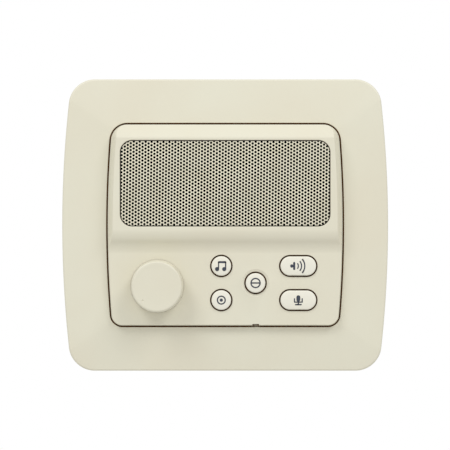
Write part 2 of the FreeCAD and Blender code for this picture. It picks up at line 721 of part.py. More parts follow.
def face_profile(inset):
    """The bezel's side view as a long bar: control plane, scoop, plateau and top bevel."""
    plateau = float(size.plateau_depth)
    control = float(size.control_depth)
    low_z, high_z = float(size.scoop_bottom_z), float(size.scoop_top_z)
    run, rise = high_z - low_z, plateau - control
    radius = (run ** 2 + rise ** 2) / (4 * rise)
    sweep = math.asin(run / 2 / radius)

    def lower(angle):
        reach = radius + inset
        return low_z + reach * math.sin(angle), control + radius - reach * math.cos(angle)

    def upper(angle):
        reach = radius - inset
        return high_z - reach * math.sin(angle), plateau - radius + reach * math.cos(angle)

    top_z = float(size.module_height) / 2
    fall = plateau - float(size.top_bevel_depth)
    tilt = math.atan(fall / float(size.top_bevel_start))
    edge_z = top_z - float(size.top_bevel_start) - inset * math.tan(tilt / 2)
    turn = float(size.top_bevel_round) - inset
    if turn < 0.2:
        turn = 0.2
    back_off = turn * math.tan(tilt / 2)
    face = plateau - inset
    beyond = top_z + 6.0

    def rounded(angle):
        return edge_z - back_off + turn * math.sin(angle), face - turn + turn * math.cos(angle)

    end_z, end_depth = rounded(tilt)
    tail = (beyond, end_depth - (beyond - end_z) * math.tan(tilt))
    back = float(ledge_front) - 2.0
    start = (-beyond, control - inset)
    reach_x = float(size.module_width) * 0.6

    def point(pair):
        return V(-reach_x, -pair[1], pair[0])

    outline = [
        Part.LineSegment(point((-beyond, back)), point(start)),
        Part.LineSegment(point(start), point(lower(0))),
        Part.Arc(point(lower(0)), point(lower(sweep / 2)), point(lower(sweep))),
        Part.Arc(point(upper(sweep)), point(upper(sweep / 2)), point(upper(0))),
        Part.LineSegment(point(upper(0)), point(rounded(0))),
        Part.Arc(point(rounded(0)), point(rounded(tilt / 2)), point(rounded(tilt))),
        Part.LineSegment(point(rounded(tilt)), point(tail)),
        Part.LineSegment(point(tail), point((beyond, back))),
        Part.LineSegment(point((beyond, back)), point((-beyond, back))),
    ]
    wire = Part.Wire([curve.toShape() for curve in outline])
    return Part.Face(wire).extrude(V(2 * reach_x, 0, 0))


def bevelled_form(inset):
    """The bezel's outline as a solid whose rim leans in above the rim line."""
    rim, plateau = float(size.edge_depth), float(size.plateau_depth)
    lean = float(size.side_bevel) / (plateau - rim)
    above = plateau + 0.6
    back = float(ledge_front) - (1.0 if inset else 0.0)
    lean_back = inset * (math.sqrt(1 + lean ** 2) - 1) / lean if inset else 0.0
    knee = rim - lean_back
    skirt = forward(module_outline(back, inset), knee - back)
    upper = Part.makeLoft(
        [module_outline(knee, inset), module_outline(above, inset + lean * (above - knee))],
        True, True,
    )
    return skirt.fuse(upper)


def bezel_blank():
    """The bezel's outer form with its long edges rounded."""
    return bevelled_form(0.0).common(face_profile(0.0)).removeSplitter()


def bezel_edges(form):
    """The edges where the leaning rim meets the bezel's face."""
    lean = float(size.side_bevel) / (float(size.plateau_depth) - float(size.edge_depth))
    chosen = []
    for edge in form.Edges:
        middle = edge.valueAt((edge.FirstParameter + edge.LastParameter) / 2)
        depth = -middle.y
        if depth < float(size.edge_depth) + 0.5:
            continue
        inset = lean * (depth - float(size.edge_depth))
        line = module_outline(depth, inset)
        if line.distToShape(Part.Vertex(middle))[0] < 0.05:
            chosen.append(edge)
    return chosen


def make_front_bezel():
    """The moulded face: raised speaker plateau, scoop and control plane on one skirt."""
    wall = float(size.shell_wall)
    outer = bezel_blank()
    outer = outer.makeFillet(float(size.bevel_round), bezel_edges(outer))
    hollow = bevelled_form(wall).common(face_profile(wall))
    hollow = hollow.cut(rounded_block(
        size.grille_width + size.shell_wall * 2, size.grille_height + size.shell_wall * 2,
        size.grille_corner + size.shell_wall, seat_back, size.plateau_depth, 0.0, float(size.grille_z),
    ))
    posts = [bar(size.speaker_boss, speaker_front, size.plateau_depth, x, z)
             for x, z in speaker_places]
    posts += [bar(size.board_post, size.board_depth, size.plateau_depth, x, z)
              for x, z in board_places]
    shell = outer.cut(hollow).fuse([post.common(outer.fuse(forward(
        module_outline(0, wall), float(size.control_depth) - 1)))
        for post in posts] + make_hooks(outer))
    return finished("front_bezel", pierce_bezel(shell).removeSplitter())


def make_hooks(outer):
    """Four snap hooks that catch in windows of the rear housing."""
    inner_level = float(size.box_height) / 2 - float(size.box_wall) - float(size.hook_gap)
    thick, wide = float(size.hook_sheet), float(size.hook_width)
    tip, barb = float(size.hook_reach), float(size.hook_barb)
    hooks = []
    for end, span in hook_rows:
        for side in (-1, 1):
            profile = [
                (inner_level, -float(size.control_depth)),
                (inner_level, tip - float(size.barb_height)),
                (inner_level + barb, tip - float(size.barb_height)),
                (inner_level, tip),
                (inner_level - thick, tip),
                (inner_level - thick, -float(size.control_depth)),
            ]
            if end > 0:
                profile[0] = (inner_level, -float(size.plateau_depth))
                profile[5] = (inner_level - thick, -float(size.plateau_depth))
            left = side * float(span) / 2 - wide / 2
            points = [V(left, y, end * z) for z, y in profile]
            tongue = Part.Face(Part.makePolygon(points + points[:1])).extrude(V(wide, 0, 0))
            hooks.append(tongue.cut(forward(module_outline(float(size.control_depth) - 1), 30)).fuse(
                tongue.common(outer)))
    return hooks


def pierce_bezel(shell):
    """Cut the grille seat, key holes, dish, shaft hole, pilot holes and microphone port."""
    z = float(size.grille_z)
    opening = rounded_block(
        size.grille_width, size.grille_height, size.grille_corner,
        cloth_back, size.plateau_depth + 1, 0.0, z,
    )
    window = rounded_block(
        size.grille_width - size.seat_overlap * 2, size.grille_height - size.seat_overlap * 2,
        size.grille_corner - size.seat_overlap, seat_back - 1, cloth_back + 1, 0.0, z,
    )
    tools = [opening, window]
    through = (size.control_depth - size.shell_wall - 1, size.control_depth + 1)
    for x, z, long in KEYS.values():
        if long:
            tools.append(pill_bar(size.pill_length, size.pill_height, *through, x, z))
        else:
            tools.append(bar(size.round_hole, *through, x, z))
    tools.append(dish())
    tools.append(bar(size.bush_thread + size.screw_clearance / 2, *through, size.knob_x, size.knob_z))
    for x, z in speaker_places:
        deep = speaker_front + size.gasket_sheet + 1.0
        tools.append(bar(size.speaker_screw + size.thread_clearance, speaker_front - 1, deep, x, z))
    for x, z in board_places:
        deep = size.board_depth + size.board_screw_length
        tools.append(bar(size.board_screw + size.thread_clearance, size.board_depth - 1, deep, x, z))
    rim_z = -float(size.module_height) / 2
    tools.append(Part.makeBox(
        float(size.port_width), 30, float(size.port_sink) + 1,
        V(float(size.port_x - size.port_width / 2), -25, rim_z - 1),
    ))
    tools.append(Part.makeCylinder(
        float(size.port_bore) / 2, float(size.shell_wall) + 1,
        V(float(size.port_x), -float(size.mic_depth), rim_z), V(0, 0, 1),
    ))
    for tool in tools:
        shell = shell.cut(tool)
    return shell


def dish():
    """The ball that sinks a shallow dish round the privacy key."""
    rim, hole, sink = (float(value) / 2 for value in (size.dish_rim, size.round_hole, size.dish_sink * 2))
    # the ball meets the control plane at the rim and lies sink below it at the hole
    lift = (rim ** 2 - hole ** 2 - sink ** 2) / (2 * sink)
    radius = math.hypot(rim, lift)
    centre = V(float(size.middle_key_x), -(float(size.control_depth) + lift), float(size.middle_key_z))
    return Part.makeSphere(radius, centre)


# ---------------------------------------------------------------- perforated grille

def grille_outline():
    gap = size.grille_gap * 2
    return rounded_block(
        size.grille_width - gap, size.grille_height - gap, size.grille_corner - size.grille_gap,
        grille_back, grille_front, 0.0, float(size.grille_z),
    )


def column_levels(column, half_height):
    """Heights of the holes in one column; every other column is shifted by half a pitch."""
    pitch = float(size.hole_pitch)
    shift = pitch / 2 if column % 2 else 0.0
    count = int(half_height // pitch) + 1
    return [shift + step * pitch for step in range(-count, count + 1)]


def perforated_strip(face, holes):
    """One strip of the sheet's back face with its holes, thickened to the front."""
    outline = face.OuterWire
    facing = Part.Face(outline)
    away = facing.normalAt(0, 0).y > 0
    wires = [outline]
    for x, z in holes:
        circle = Part.makeCircle(float(size.hole_bore) / 2, V(x, face.CenterOfMass.y, z), V(0, 1, 0))
        wire = Part.Wire([circle])
        if away:
            wire.reverse()
        wires.append(wire)
    strip = Part.Face(wires)
    return strip.extrude(V(0, -float(size.grille_sheet), 0))


def make_speaker_grille():
    """A perforated sheet, built strip by strip and sewn into one skin."""
    blank = grille_outline()
    back = -float(grille_back)
    face = [f for f in blank.Faces if abs(f.CenterOfMass.y - back) < 1e-6][0]
    width = float(size.grille_width) - 2 * float(size.grille_gap)
    height = float(size.grille_height) - 2 * float(size.grille_gap)
    column_pitch = float(size.hole_pitch) * math.sqrt(3) / 2
    margin = float(size.hole_bore) / 2 + 0.3
    columns = int((width - 2 * margin) // column_pitch) + 1
    first = -(columns - 1) * column_pitch / 2
    per_strip = 4
    bounds = [first + (number - 0.5) * column_pitch for number in range(per_strip, columns, per_strip)]
    edges = [-width] + bounds + [width]
    z = float(size.grille_z)
    skin = []
    for number, (left, right) in enumerate(zip(edges, edges[1:])):
        window = Part.makePlane(
            right - left, 2 * height, V(left, back, z - height), V(0, -1, 0), V(1, 0, 0),
        )
        part = face.common(window).Faces[0]
        holes = []
        for column in range(number * per_strip, min((number + 1) * per_strip, columns)):
            x = first + column * column_pitch
            for level in column_levels(column, height / 2):
                if inside_sheet(x, level, width, height, margin):
                    holes.append((x, z + level))
        strip = perforated_strip(part, holes)
        for side in strip.Faces:
            box = side.BoundBox
            on_cut = box.XLength < 1e-6 and any(abs(box.XMin - line) < 1e-6 for line in bounds)
            if not on_cut:
                skin.append(side)
    shell = Part.Shell(skin)
    shell.sewShape(1e-5)
    solid = Part.Solid(shell if shell.ShapeType == "Shell" else shell.Shells[0])
    return finished("speaker_grille", solid)


def inside_sheet(x, level, width, height, margin):
    """True where a hole at x, level keeps its margin to the sheet's rounded outline."""
    corner = float(size.grille_corner) - float(size.grille_gap)
    over_x = abs(x) - (width / 2 - corner)
    over_z = abs(level) - (height / 2 - corner)
    if over_x > 0 and over_z > 0:
        return math.hypot(over_x, over_z) <= corner - margin
    return abs(x) <= width / 2 - margin and abs(level) <= height / 2 - margin


def make_grille_cloth():
    """Thin black cloth between the grille and its seat."""
    body = new_body("grille_cloth", 0, cloth_back, size.grille_z)
    sketch = new_sketch(body, "cloth_outline")
    gap = size.cloth_gap * 2
    draw_rectangle(sketch, size.grille_width - gap, size.grille_height - gap)
    pad(body, sketch, size.cloth_sheet, "cloth_sheet")
    round_edges(body, size.grille_corner - size.cloth_gap, runs_in_depth, "cloth_corners")


# ---------------------------------------------------------------- what is fixed to the wall

def make_mounting_bracket():
    """The steel ring on the wall that carries everything else."""
    body = new_body("mounting_bracket")
    plate = new_sketch(body, "bracket_outline")
    draw_rectangle(plate, size.bracket_width, size.bracket_height)
    pad(body, plate, size.bracket_sheet, "bracket_plate")
    round_edges(body, size.bracket_corner, runs_in_depth, "bracket_corners")
    openings = new_sketch(body, "bracket_openings", offset=size.bracket_sheet)
    around = size.bracket_clearance * 2
    draw_rectangle(openings, size.box_width + around, size.box_height + around)
    for x, z in corners_of(size.wall_screw_span_x, size.wall_screw_span_z):
        draw_circle(openings, size.wall_screw_hole, x, z)
    for x, z in chassis_places:
        draw_circle(openings, size.chassis_thread + size.thread_clearance, x, z)
    pocket(body, openings, size.bracket_sheet, "bracket_cut")


def make_rear_housing():
    """The plastic box in the wall: flange, hook windows, vents and cable entry."""
    body = new_body("rear_housing")
    outside = new_sketch(body, "box_outline", offset=box_back)
    draw_rectangle(outside, size.box_width, size.box_height)
    pad(body, outside, flange_front - box_back, "box_block")
    round_edges(body, size.box_corner, runs_in_depth, "box_corners")
    flange = new_sketch(body, "flange_outline", offset=bracket_front)
    draw_rectangle(flange, size.flange_width, size.flange_height)
    pad(body, flange, size.flange_sheet, "box_flange")

    inside = new_sketch(body, "box_inside", offset=flange_front)
    walls = size.box_wall * 2
    draw_rectangle(inside, size.box_width - walls, size.box_height - walls)
    pocket(body, inside, flange_front - box_floor, "box_hollow")
    holes = new_sketch(body, "flange_holes", offset=flange_front)
    for x, z in chassis_places:
        draw_circle(holes, size.chassis_thread + size.screw_clearance, x, z)
    pocket(body, holes, size.flange_sheet + 1, "flange_drilled")

    floor_cut = new_sketch(body, "floor_openings", offset=box_floor)
    draw_circle(floor_cut, size.grommet_neck, 0, size.entry_z)
    count = int(float(size.vent_count))
    for number in range(count):
        step = number - (count - 1) / 2
        draw_pill(floor_cut, size.vent_length, size.vent_width, 0, size.speaker_z + size.vent_pitch * step)
    pocket(body, floor_cut, size.box_wall + 1, "floor_cut")

    play = size.hook_gap * 2
    back_edge = size.hook_reach + size.hook_gap
    front_edge = size.hook_reach - size.barb_height - size.hook_gap
    for end, span in hook_rows:
        name = "upper_windows" if end > 0 else "lower_windows"
        windows = new_sketch(body, name, "XY_Plane", size.box_height / 2 * end)
        for side in (-1, 1):
            draw_rectangle(
                windows, size.hook_width + play, back_edge - front_edge,
                span / 2 * side, (back_edge + front_edge) / 2,
            )
        pocket(body, windows, size.box_wall, f"{name}_cut", reverse=end < 0)


def make_cable_grommet():
    """The rubber ring that lines the cable entry in the housing's floor."""
    inner, neck, lip = size.entry_bore / 2, size.grommet_neck / 2, size.grommet_lip / 2
    front, back = box_floor + size.grommet_lip_sheet, box_back - size.grommet_lip_sheet
    turned_body("cable_grommet", [
        (front, inner), (front, lip), (box_floor, lip), (box_floor, neck),
        (box_back, neck), (box_back, lip), (back, lip), (back, inner),
    ], 0, size.entry_z)


def make_chassis_screws():
    """Four screws that clamp trim and housing on the bracket."""
    group("chassis_screws", [
        screw(
            f"chassis_screw_{number}", x, z, ledge_front, size.chassis_thread,
            size.chassis_length, size.chassis_head, size.chassis_head_rise, False,
        )
        for number, (x, z) in enumerate(chassis_places, start=1)
    ])


# ---------------------------------------------------------------- speaker

neck_back = speaker_front - size.cone_length
coil_rim = size.coil_bore + size.coil_wall * 2
foot_back = neck_back - size.plate_sheet
plate_back = foot_back - size.plate_sheet
magnet_back = plate_back - size.magnet_sheet
yoke_back = magnet_back - size.yoke_sheet


def make_speaker_basket():
    """Pressed steel basket: square flange, open cone and a foot for the magnet."""
    body = new_body("speaker_basket", 0, 0, size.speaker_z)
    flange = new_sketch(body, "basket_flange_outline", offset=basket_back)
    draw_rectangle(flange, size.speaker_frame, size.speaker_frame)
    pad(body, flange, size.speaker_sheet, "basket_flange")
    round_edges(body, size.speaker_corner, runs_in_depth, "basket_flange_corners")
    openings = new_sketch(body, "basket_flange_openings", offset=speaker_front)
    mouth = size.cone_mouth + size.roll_radius * 4 + size.paper * 2
    draw_circle(openings, mouth)
    for x, z in corners_of(size.speaker_holes, size.speaker_holes):
        draw_circle(openings, size.speaker_screw + size.screw_clearance, x, z)
    pocket(body, openings, size.speaker_sheet, "basket_flange_cut")

    wall = new_sketch(body, "basket_section", "YZ_Plane")
    rim, foot, sheet_metal = mouth / 2, size.basket_foot / 2, size.speaker_sheet
    shoulder = foot_back + sheet_metal
    draw_polygon(wall, [
        (-basket_back, rim), (-basket_back, rim + sheet_metal),
        (-shoulder, foot), (-foot_back, foot),
        (-foot_back, size.magnet_bore / 2), (-shoulder, size.magnet_bore / 2),
        (-shoulder, foot - sheet_metal),
    ])
    revolve(body, wall, "basket_cone")
    windows = new_sketch(body, "basket_windows", offset=basket_back - 1)
    middle, high, wide = (rim + foot) / 2, (rim - foot) * 0.55, foot * 0.9
    for side in (-1, 1):
        draw_rectangle(windows, wide, high, 0, middle * side)
        draw_rectangle(windows, high, wide, middle * side, 0)
    pocket(body, windows, basket_back - shoulder - 2, "basket_windows_cut")
    shelf = new_sketch(body, "tag_shelf_outline", offset=tag_shelf_back)
    draw_rectangle(shelf, size.coil_bore, tag_reach, 0, tag_z)
    pad(body, shelf, size.speaker_sheet, "tag_shelf")


tag_shelf_back = basket_back - size.speaker_sheet
tag_reach = size.speaker_screw_head
tag_z = -(size.speaker_frame / 2) - tag_reach / 2 + size.speaker_sheet


def make_speaker_moving_parts():
    """Surround, cone, dust cap, voice coil and spider, all thin and glued together."""
    front, paper = speaker_front, size.paper
    cone_rim, coil_outer = size.cone_mouth / 2, coil_rim / 2
    lean = size.paper * 1.7
    turned_body("speaker_cone", [
        (front, cone_rim), (front, cone_rim - lean), (neck_back, coil_outer),
        (neck_back, coil_outer + lean),
    ], 0, size.speaker_z)
    turned_body("speaker_voice_coil", [
        (neck_back + paper, size.coil_bore / 2), (neck_back + paper, coil_outer),
        (neck_back - size.coil_length, coil_outer), (neck_back - size.coil_length, size.coil_bore / 2),
    ], 0, size.speaker_z)
    make_surround(front, cone_rim)
    make_spider(coil_outer)
    make_dust_cap(coil_outer + lean)


def make_surround(front, cone_rim):
    """A half roll between cone and basket, with a glued lip on each side."""
    body = new_body("speaker_surround", 0, 0, size.speaker_z)
    roll = new_sketch(body, "surround_roll_section", "YZ_Plane")
    centre_r = cone_rim + size.roll_radius
    centre = V(-float(front), float(centre_r), 0)
    elements = []
    for radius in (size.roll_radius, size.roll_radius - size.paper):
        circle = Part.Circle(centre, V(0, 0, 1), float(radius))
        arc = Part.ArcOfCircle(circle, math.pi / 2, 3 * math.pi / 2)
        element = roll.addGeometry(arc, False)
        fix_radius(roll, element, radius * 2)
        fix_point(roll, element, 3, -front, centre_r)
        for end in (1, 2):
            roll.addConstraint(Sketcher.Constraint("Vertical", element, 3, element, end))
        elements.append(element)
    outer, inner = elements
    for end in (1, 2):
        start, stop = (roll.getPoint(element, end) for element in (outer, inner))
        line = roll.addGeometry(Part.LineSegment(start, stop), False)
        roll.addConstraint(Sketcher.Constraint("Coincident", line, 1, outer, end))
        roll.addConstraint(Sketcher.Constraint("Coincident", line, 2, inner, end))
    revolve(body, roll, "surround_roll")
    lips = new_sketch(body, "surround_lip_section", "YZ_Plane")
    paper, lip = size.paper, size.surround_lip
    middle = -front - paper / 2
    draw_rectangle(lips, paper, lip, middle, cone_rim - lip / 2 + paper)
    draw_rectangle(lips, paper, lip, middle, cone_rim + size.roll_radius * 2 + lip / 2 - paper)
    revolve(body, lips, "surround_lips")


def make_spider(coil_outer):
    """The corrugated disc that centres the coil."""
    rest = foot_back + size.speaker_sheet
    paper = size.paper
    outer = size.basket_foot / 2 - size.speaker_sheet * 1.5
    folds = 6
    crest = []
    for number in range(folds + 1):
        lift = size.speaker_sheet * (number % 2)
        crest.append((rest + lift, coil_outer + (outer - coil_outer) * (number / folds)))
    front = [(depth + paper, radius) for depth, radius in reversed(crest)]
    turned_body("speaker_spider", crest + front, 0, size.speaker_z)


def make_dust_cap(base_radius):
    """A shallow paper dome over the coil."""
    base = neck_back + size.paper * 1.5
    ball = base_radius * 1.4
    drop = math.sqrt(float(ball) ** 2 - float(base_radius) ** 2) / float(ball)
    centre = base - ball * drop
    spheres = []
    for name, radius in (("dust_cap_outside", ball), ("dust_cap_inside", ball - size.paper)):
        sphere = doc.addObject("Part::Sphere", name)
        bind(sphere, "Radius", radius)
        put(sphere, 0, centre, size.speaker_z)
        spheres.append(sphere)
    dome = cut("dust_cap_shell", *spheres)
    window = cylinder("dust_cap_window", base_radius * 4, base, base + ball, 0, size.speaker_z)
    cap = doc.addObject("Part::Common", "speaker_dust_cap")
    cap.Base = dome
    cap.Tool = window
    cap.Label = "speaker_dust_cap"


def make_speaker_motor():
    """Front plate, ring magnet and yoke with its pole."""
    gap_outer = coil_rim / 2 + size.coil_gap
    pole = size.coil_bore / 2 - size.coil_gap
    rim, bore = size.magnet_rim / 2, size.magnet_bore / 2
    turned_body("speaker_front_plate", [
        (foot_back, gap_outer), (foot_back, rim), (plate_back, rim), (plate_back, gap_outer),
    ], 0, size.speaker_z)
    turned_body("speaker_magnet", [
        (plate_back, bore), (plate_back, rim), (magnet_back, rim), (magnet_back, bore),
    ], 0, size.speaker_z)
    turned_body("speaker_yoke", [
        (foot_back, 0), (foot_back, pole), (magnet_back, pole), (magnet_back, rim),
        (yoke_back, rim), (yoke_back, 0),
    ], 0, size.speaker_z)


def make_speaker_fixings():
    """Gasket, screws, tag strip, tags and the two leads to the board."""
    turned_body("speaker_gasket", [
        (speaker_front, size.gasket_bore / 2), (speaker_front, size.gasket_rim / 2),
        (seat_back, size.gasket_rim / 2), (seat_back, size.gasket_bore / 2),
    ], 0, size.speaker_z)
    group("speaker_screws", [
        screw(
            f"speaker_screw_{number}", x, z, basket_back, size.speaker_screw,
            size.speaker_screw_length, size.speaker_screw_head, size.speaker_screw_rise, True,
        )
        for number, (x, z) in enumerate(speaker_places, start=1)
    ])
    strip = new_body("speaker_tag_strip", 0, tag_shelf_back - size.speaker_sheet, size.speaker_z)
    outline = new_sketch(strip, "tag_strip_outline")
    draw_rectangle(outline, size.coil_bore, tag_reach, 0, tag_z)
    pad(strip, outline, size.speaker_sheet, "tag_strip_sheet")
    group("speaker_tags", [
        block(
            f"speaker_tag_{name}", size.lead_bore * 1.5, size.speaker_sheet * 0.6,
            tag_back, tag_shelf_back - size.speaker_sheet,
            size.lead_pitch / 2 * side, size.speaker_z + tag_z,
        )
        for name, side in (("left", -1), ("right", 1))
    ])


tag_back = tag_shelf_back - size.speaker_sheet * 5
header_z = size.board_z + size.board_height / 2 - size.header_drop
header_back = board_back - size.header_rise


def lead_path(points):
    """Straight runs joined by tangent arcs as large as the runs allow."""
    edges = []
    start = points[0]
    for before, corner, after in zip(points, points[1:], points[2:]):
        back, ahead = before - corner, after - corner
        turn = math.pi - back.getAngle(ahead)
        setback = 0.45 * min(back.Length, ahead.Length)
        radius = setback / math.tan(turn / 2)
        entry = corner + back.normalize() * setback
        leave = corner + ahead.normalize() * setback
        centre = corner + (back + ahead).normalize() * (radius / math.cos(turn / 2))
        middle = centre + (corner - centre).normalize() * radius
        edges.append(Part.LineSegment(start, entry).toShape())
        edges.append(Part.Arc(entry, middle, leave).toShape())
        start = leave
        print(f"lead bend radius {radius:.2f} mm")
    edges.append(Part.LineSegment(start, points[-1]).toShape())
    return Part.Wire(edges)


def lead_tube(points, diameter):
    """A round lead along a route, checked against its section times its length."""
    path = lead_path(points)
    radius = float(diameter) / 2
    start, direction = points[0], points[1] - points[0]
    section = Part.Wire([Part.makeCircle(radius, start, direction)])
    tube = path.makePipeShell([section], True, True)
    expected = math.pi * radius ** 2 * path.Length
    if abs(tube.Volume - expected) > 0.02 * expected:
        raise RuntimeError("a lead's volume differs from its section times its length")
    return tube


def make_speaker_leads():
    """Two limp leads from the speaker's tags round to the board's header."""
    tubes = []
    tag_end, tag_level = float(-tag_back), float(size.speaker_z + tag_z)
    header_end, header_level = float(-header_back), float(header_z)
    for side in (-1, 1):
        x = float(size.lead_pitch) / 2 * side
        tubes.append(lead_tube([
            V(x, tag_end, tag_level),
            V(x, tag_end + 5.5, tag_level),
            V(x, tag_end + 11.0, tag_level + 0.6),
            V(x, tag_end + 16.4, tag_level - 0.8),
            V(x, tag_end + 20.4, tag_level - 4.2),
            V(x, tag_end + 20.0, tag_level - 8.4),
            V(x, header_end + 6.4, header_level),
            V(x, header_end, header_level),
        ], size.lead_bore))
    finished("speaker_leads", Part.makeCompound(tubes))
    header = new_body("lead_header", 0, header_back, header_z)
    outline = new_sketch(header, "header_outline")
    draw_rectangle(outline, size.lead_pitch * 2, size.header_height)
    pad(header, outline, size.header_rise, "header_block")
    round_edges(header, size.paper, runs_in_depth, "header_corners")


# ---------------------------------------------------------------- circuit board

def make_main_board():
    """The printed circuit board, screwed to four posts behind the control plane."""
    body = new_body("main_board", 0, board_back, 0)
    outline = new_sketch(body, "board_outline")
    draw_rectangle(outline, size.board_width, size.board_height, 0, size.board_z)
    pad(body, outline, size.board_sheet, "board_sheet")
    round_edges(body, size.board_sheet, runs_in_depth, "board_corners")
    holes = new_sketch(body, "board_holes", offset=size.board_sheet)
    for x, z in board_places:
        draw_circle(holes, size.board_screw + size.screw_clearance, x, z)
    for x, z in pin_places:
        draw_circle(holes, size.pin_bore + size.screw_clearance, x, z)
    pocket(body, holes, size.board_sheet, "board_drilled")


def make_board_fixings():
    group("board_screws", [
        screw(
            f"board_screw_{number}", x, z, board_back, size.board_screw,
            size.board_screw_length + size.board_sheet - 1, size.board_screw_head,
            size.board_screw_rise, True,
        )
        for number, (x, z) in enumerate(board_places, start=1)
    ])


def make_chip(label, width, height, rise, x, z, legs):
    """A moulded chip behind the board with a row of legs on each long side."""
    stand_off = rise * 0.15
    case = block(f"{label}_case", width, height, board_back - rise, board_back - stand_off, x, z)
    pitch, reach = width / (legs + 1), rise * 0.5
    parts = [case]
    for side, end in ((1, "high"), (-1, "low")):
        leg_z = z + (height + reach) / 2 * side
        for number in range(1, legs + 1):
            leg_x = x - width / 2 + pitch * number
            parts.append(block(
                f"{label}_leg_{end}_{number}", pitch * 0.45, reach,
                board_back - rise * 0.55, board_back, leg_x, leg_z,
            ))
    chip = fuse(label, parts)
    chip.Label = label


def make_chips():
    make_chip(
        "amplifier_chip", size.amplifier_length, size.amplifier_height, size.amplifier_rise,
        size.amplifier_x, size.chip_z, 7,
    )
    make_chip(
        "logic_chip", size.logic_length, size.logic_height, size.logic_rise,
        size.logic_x, size.chip_z, 9,
    )


def make_board_capacitors():
    """Three round capacitors that stand on the back of the board."""
    kinds = [
        (size.large_can_x, size.large_can, size.large_can_rise),
        (size.small_can_x, size.small_can, size.small_can_rise),
        (size.small_can_x + size.small_can_pitch, size.small_can, size.small_can_rise),
    ]
    cans = []
    for number, (x, bore, rise) in enumerate(kinds, start=1):
        can = cylinder(f"capacitor_can_{number}", bore, board_back - rise, board_back, x, size.can_z)
        rounded = doc.addObject("Part::Fillet", f"capacitor_{number}")
        rounded.Base = can
        doc.recompute()
        top = [
            (index, float(bore) * 0.08, float(bore) * 0.08)
            for index, edge in enumerate(can.Shape.Edges, start=1)
            if lies_at(edge, board_back - rise)
        ]
        rounded.Edges = top
        cans.append(rounded)
    group("board_capacitors", cans)


def make_terminal_block():
    """The screw terminals for the wall cable, on the back of the board."""
    back = board_back - size.block_rise
    body = new_body("terminal_block", size.block_x, back, size.block_z)
    outline = new_sketch(body, "terminal_outline")
    draw_rectangle(outline, size.block_width, size.block_height)
    pad(body, outline, size.block_rise, "terminal_body")
    count = int(float(size.terminal_count))
    places = [size.terminal_pitch * (number - (count - 1) / 2) for number in range(count)]
    wells = new_sketch(body, "terminal_wells")
    for x in places:
        draw_circle(wells, size.terminal_screw + size.screw_clearance, x)
    pocket(body, wells, size.block_rise * 0.6, "terminal_wells_cut", reverse=True)
    entries = new_sketch(body, "terminal_entries", "XY_Plane", -(size.block_height / 2))
    for x in places:
        draw_rectangle(entries, size.terminal_entry, size.terminal_entry, x, -(size.block_rise * 0.72))
    pocket(body, entries, size.block_height * 0.4, "terminal_entries_cut", reverse=True)
    seat = back + size.block_rise * 0.6
    screws = []
    for number, x in enumerate(places, start=1):
        head = cylinder(
            f"terminal_screw_{number}_head", size.terminal_screw, back + size.block_rise * 0.12,
            seat, size.block_x + x, size.block_z,
        )
        slot = block(
            f"terminal_screw_{number}_slot", size.terminal_screw * 2, size.terminal_screw * 0.2,
            back, back + size.block_rise * 0.22, size.block_x + x, size.block_z,
        )
        screws.append(cut(f"terminal_screw_{number}", head, slot))
    group("terminal_screws", screws)


# ---------------------------------------------------------------- microphone

boot_rim = size.mic_rim + size.boot_wall * 2
capsule_z = size.boot_nose_z + size.boot_wall
boot_tail_z = capsule_z + size.mic_length + size.boot_wall


def upright_cylinder(name, diameter, low, high, x, depth):
    """A round bar that stands along Z, from height low to height high."""
    upright = doc.addObject("Part::Cylinder", name)
    bind(upright, "Radius", Size.of(diameter) / 2)
    bind(upright, "Height", Size.of(high) - low)
    put(upright, x, depth, low)
    return upright


def make_microphone():
    """An electret capsule in a rubber boot whose snout meets the sound hole in the rim."""
    x, depth = size.port_x, size.mic_depth
    rim_inside = -(size.module_height / 2) + size.shell_wall
    shells = [
        upright_cylinder("boot_sleeve", boot_rim, size.boot_nose_z, boot_tail_z, x, depth),
        upright_cylinder("boot_snout", size.boot_snout, rim_inside, size.boot_nose_z, x, depth),
    ]
    bores = [
        upright_cylinder("boot_pocket", size.mic_rim, capsule_z, boot_tail_z + 1, x, depth),
        upright_cylinder("boot_bore", size.port_bore, rim_inside - 1, capsule_z + 1, x, depth),
    ]
    boot = cut("microphone_boot", fuse("boot_blank", shells), fuse("boot_bores", bores))
    boot.Label = "microphone_boot"
    capsule = upright_cylinder(
        "microphone_capsule", size.mic_rim, capsule_z, capsule_z + size.mic_length, x, depth,
    )
    capsule.Label = "microphone_capsule"
    tubes = []
    end_z = float(capsule_z + size.mic_length)
    front, board = -float(depth), -float(size.board_depth)
    for side in (-1, 1):
        lead_x = float(x) + side * float(size.mic_rim) / 4
        tubes.append(lead_tube([
            V(lead_x, front, end_z),
            V(lead_x, front, end_z + float(size.mic_length) * 1.6),
            V(lead_x, board, end_z + float(size.mic_length) * 1.6),
        ], size.pin_bore * 0.6))
    finished("microphone_leads", Part.makeCompound(tubes))


# ---------------------------------------------------------------- volume control

bush_front = control_back + size.bush_length
washer_front = size.control_depth + size.washer_sheet
nut_front = washer_front + size.nut_sheet
knob_back = size.control_depth + size.knob_gap
knob_front = knob_back + size.knob_height
knob_ceiling = knob_front - size.knob_wall
boss_back = bush_front + size.knob_gap * 2
shaft_front = knob_ceiling - size.knob_gap
rotor_back = size.board_depth + size.pot_wall + size.rotor_sheet
rotor_front = rotor_back + size.rotor_sheet


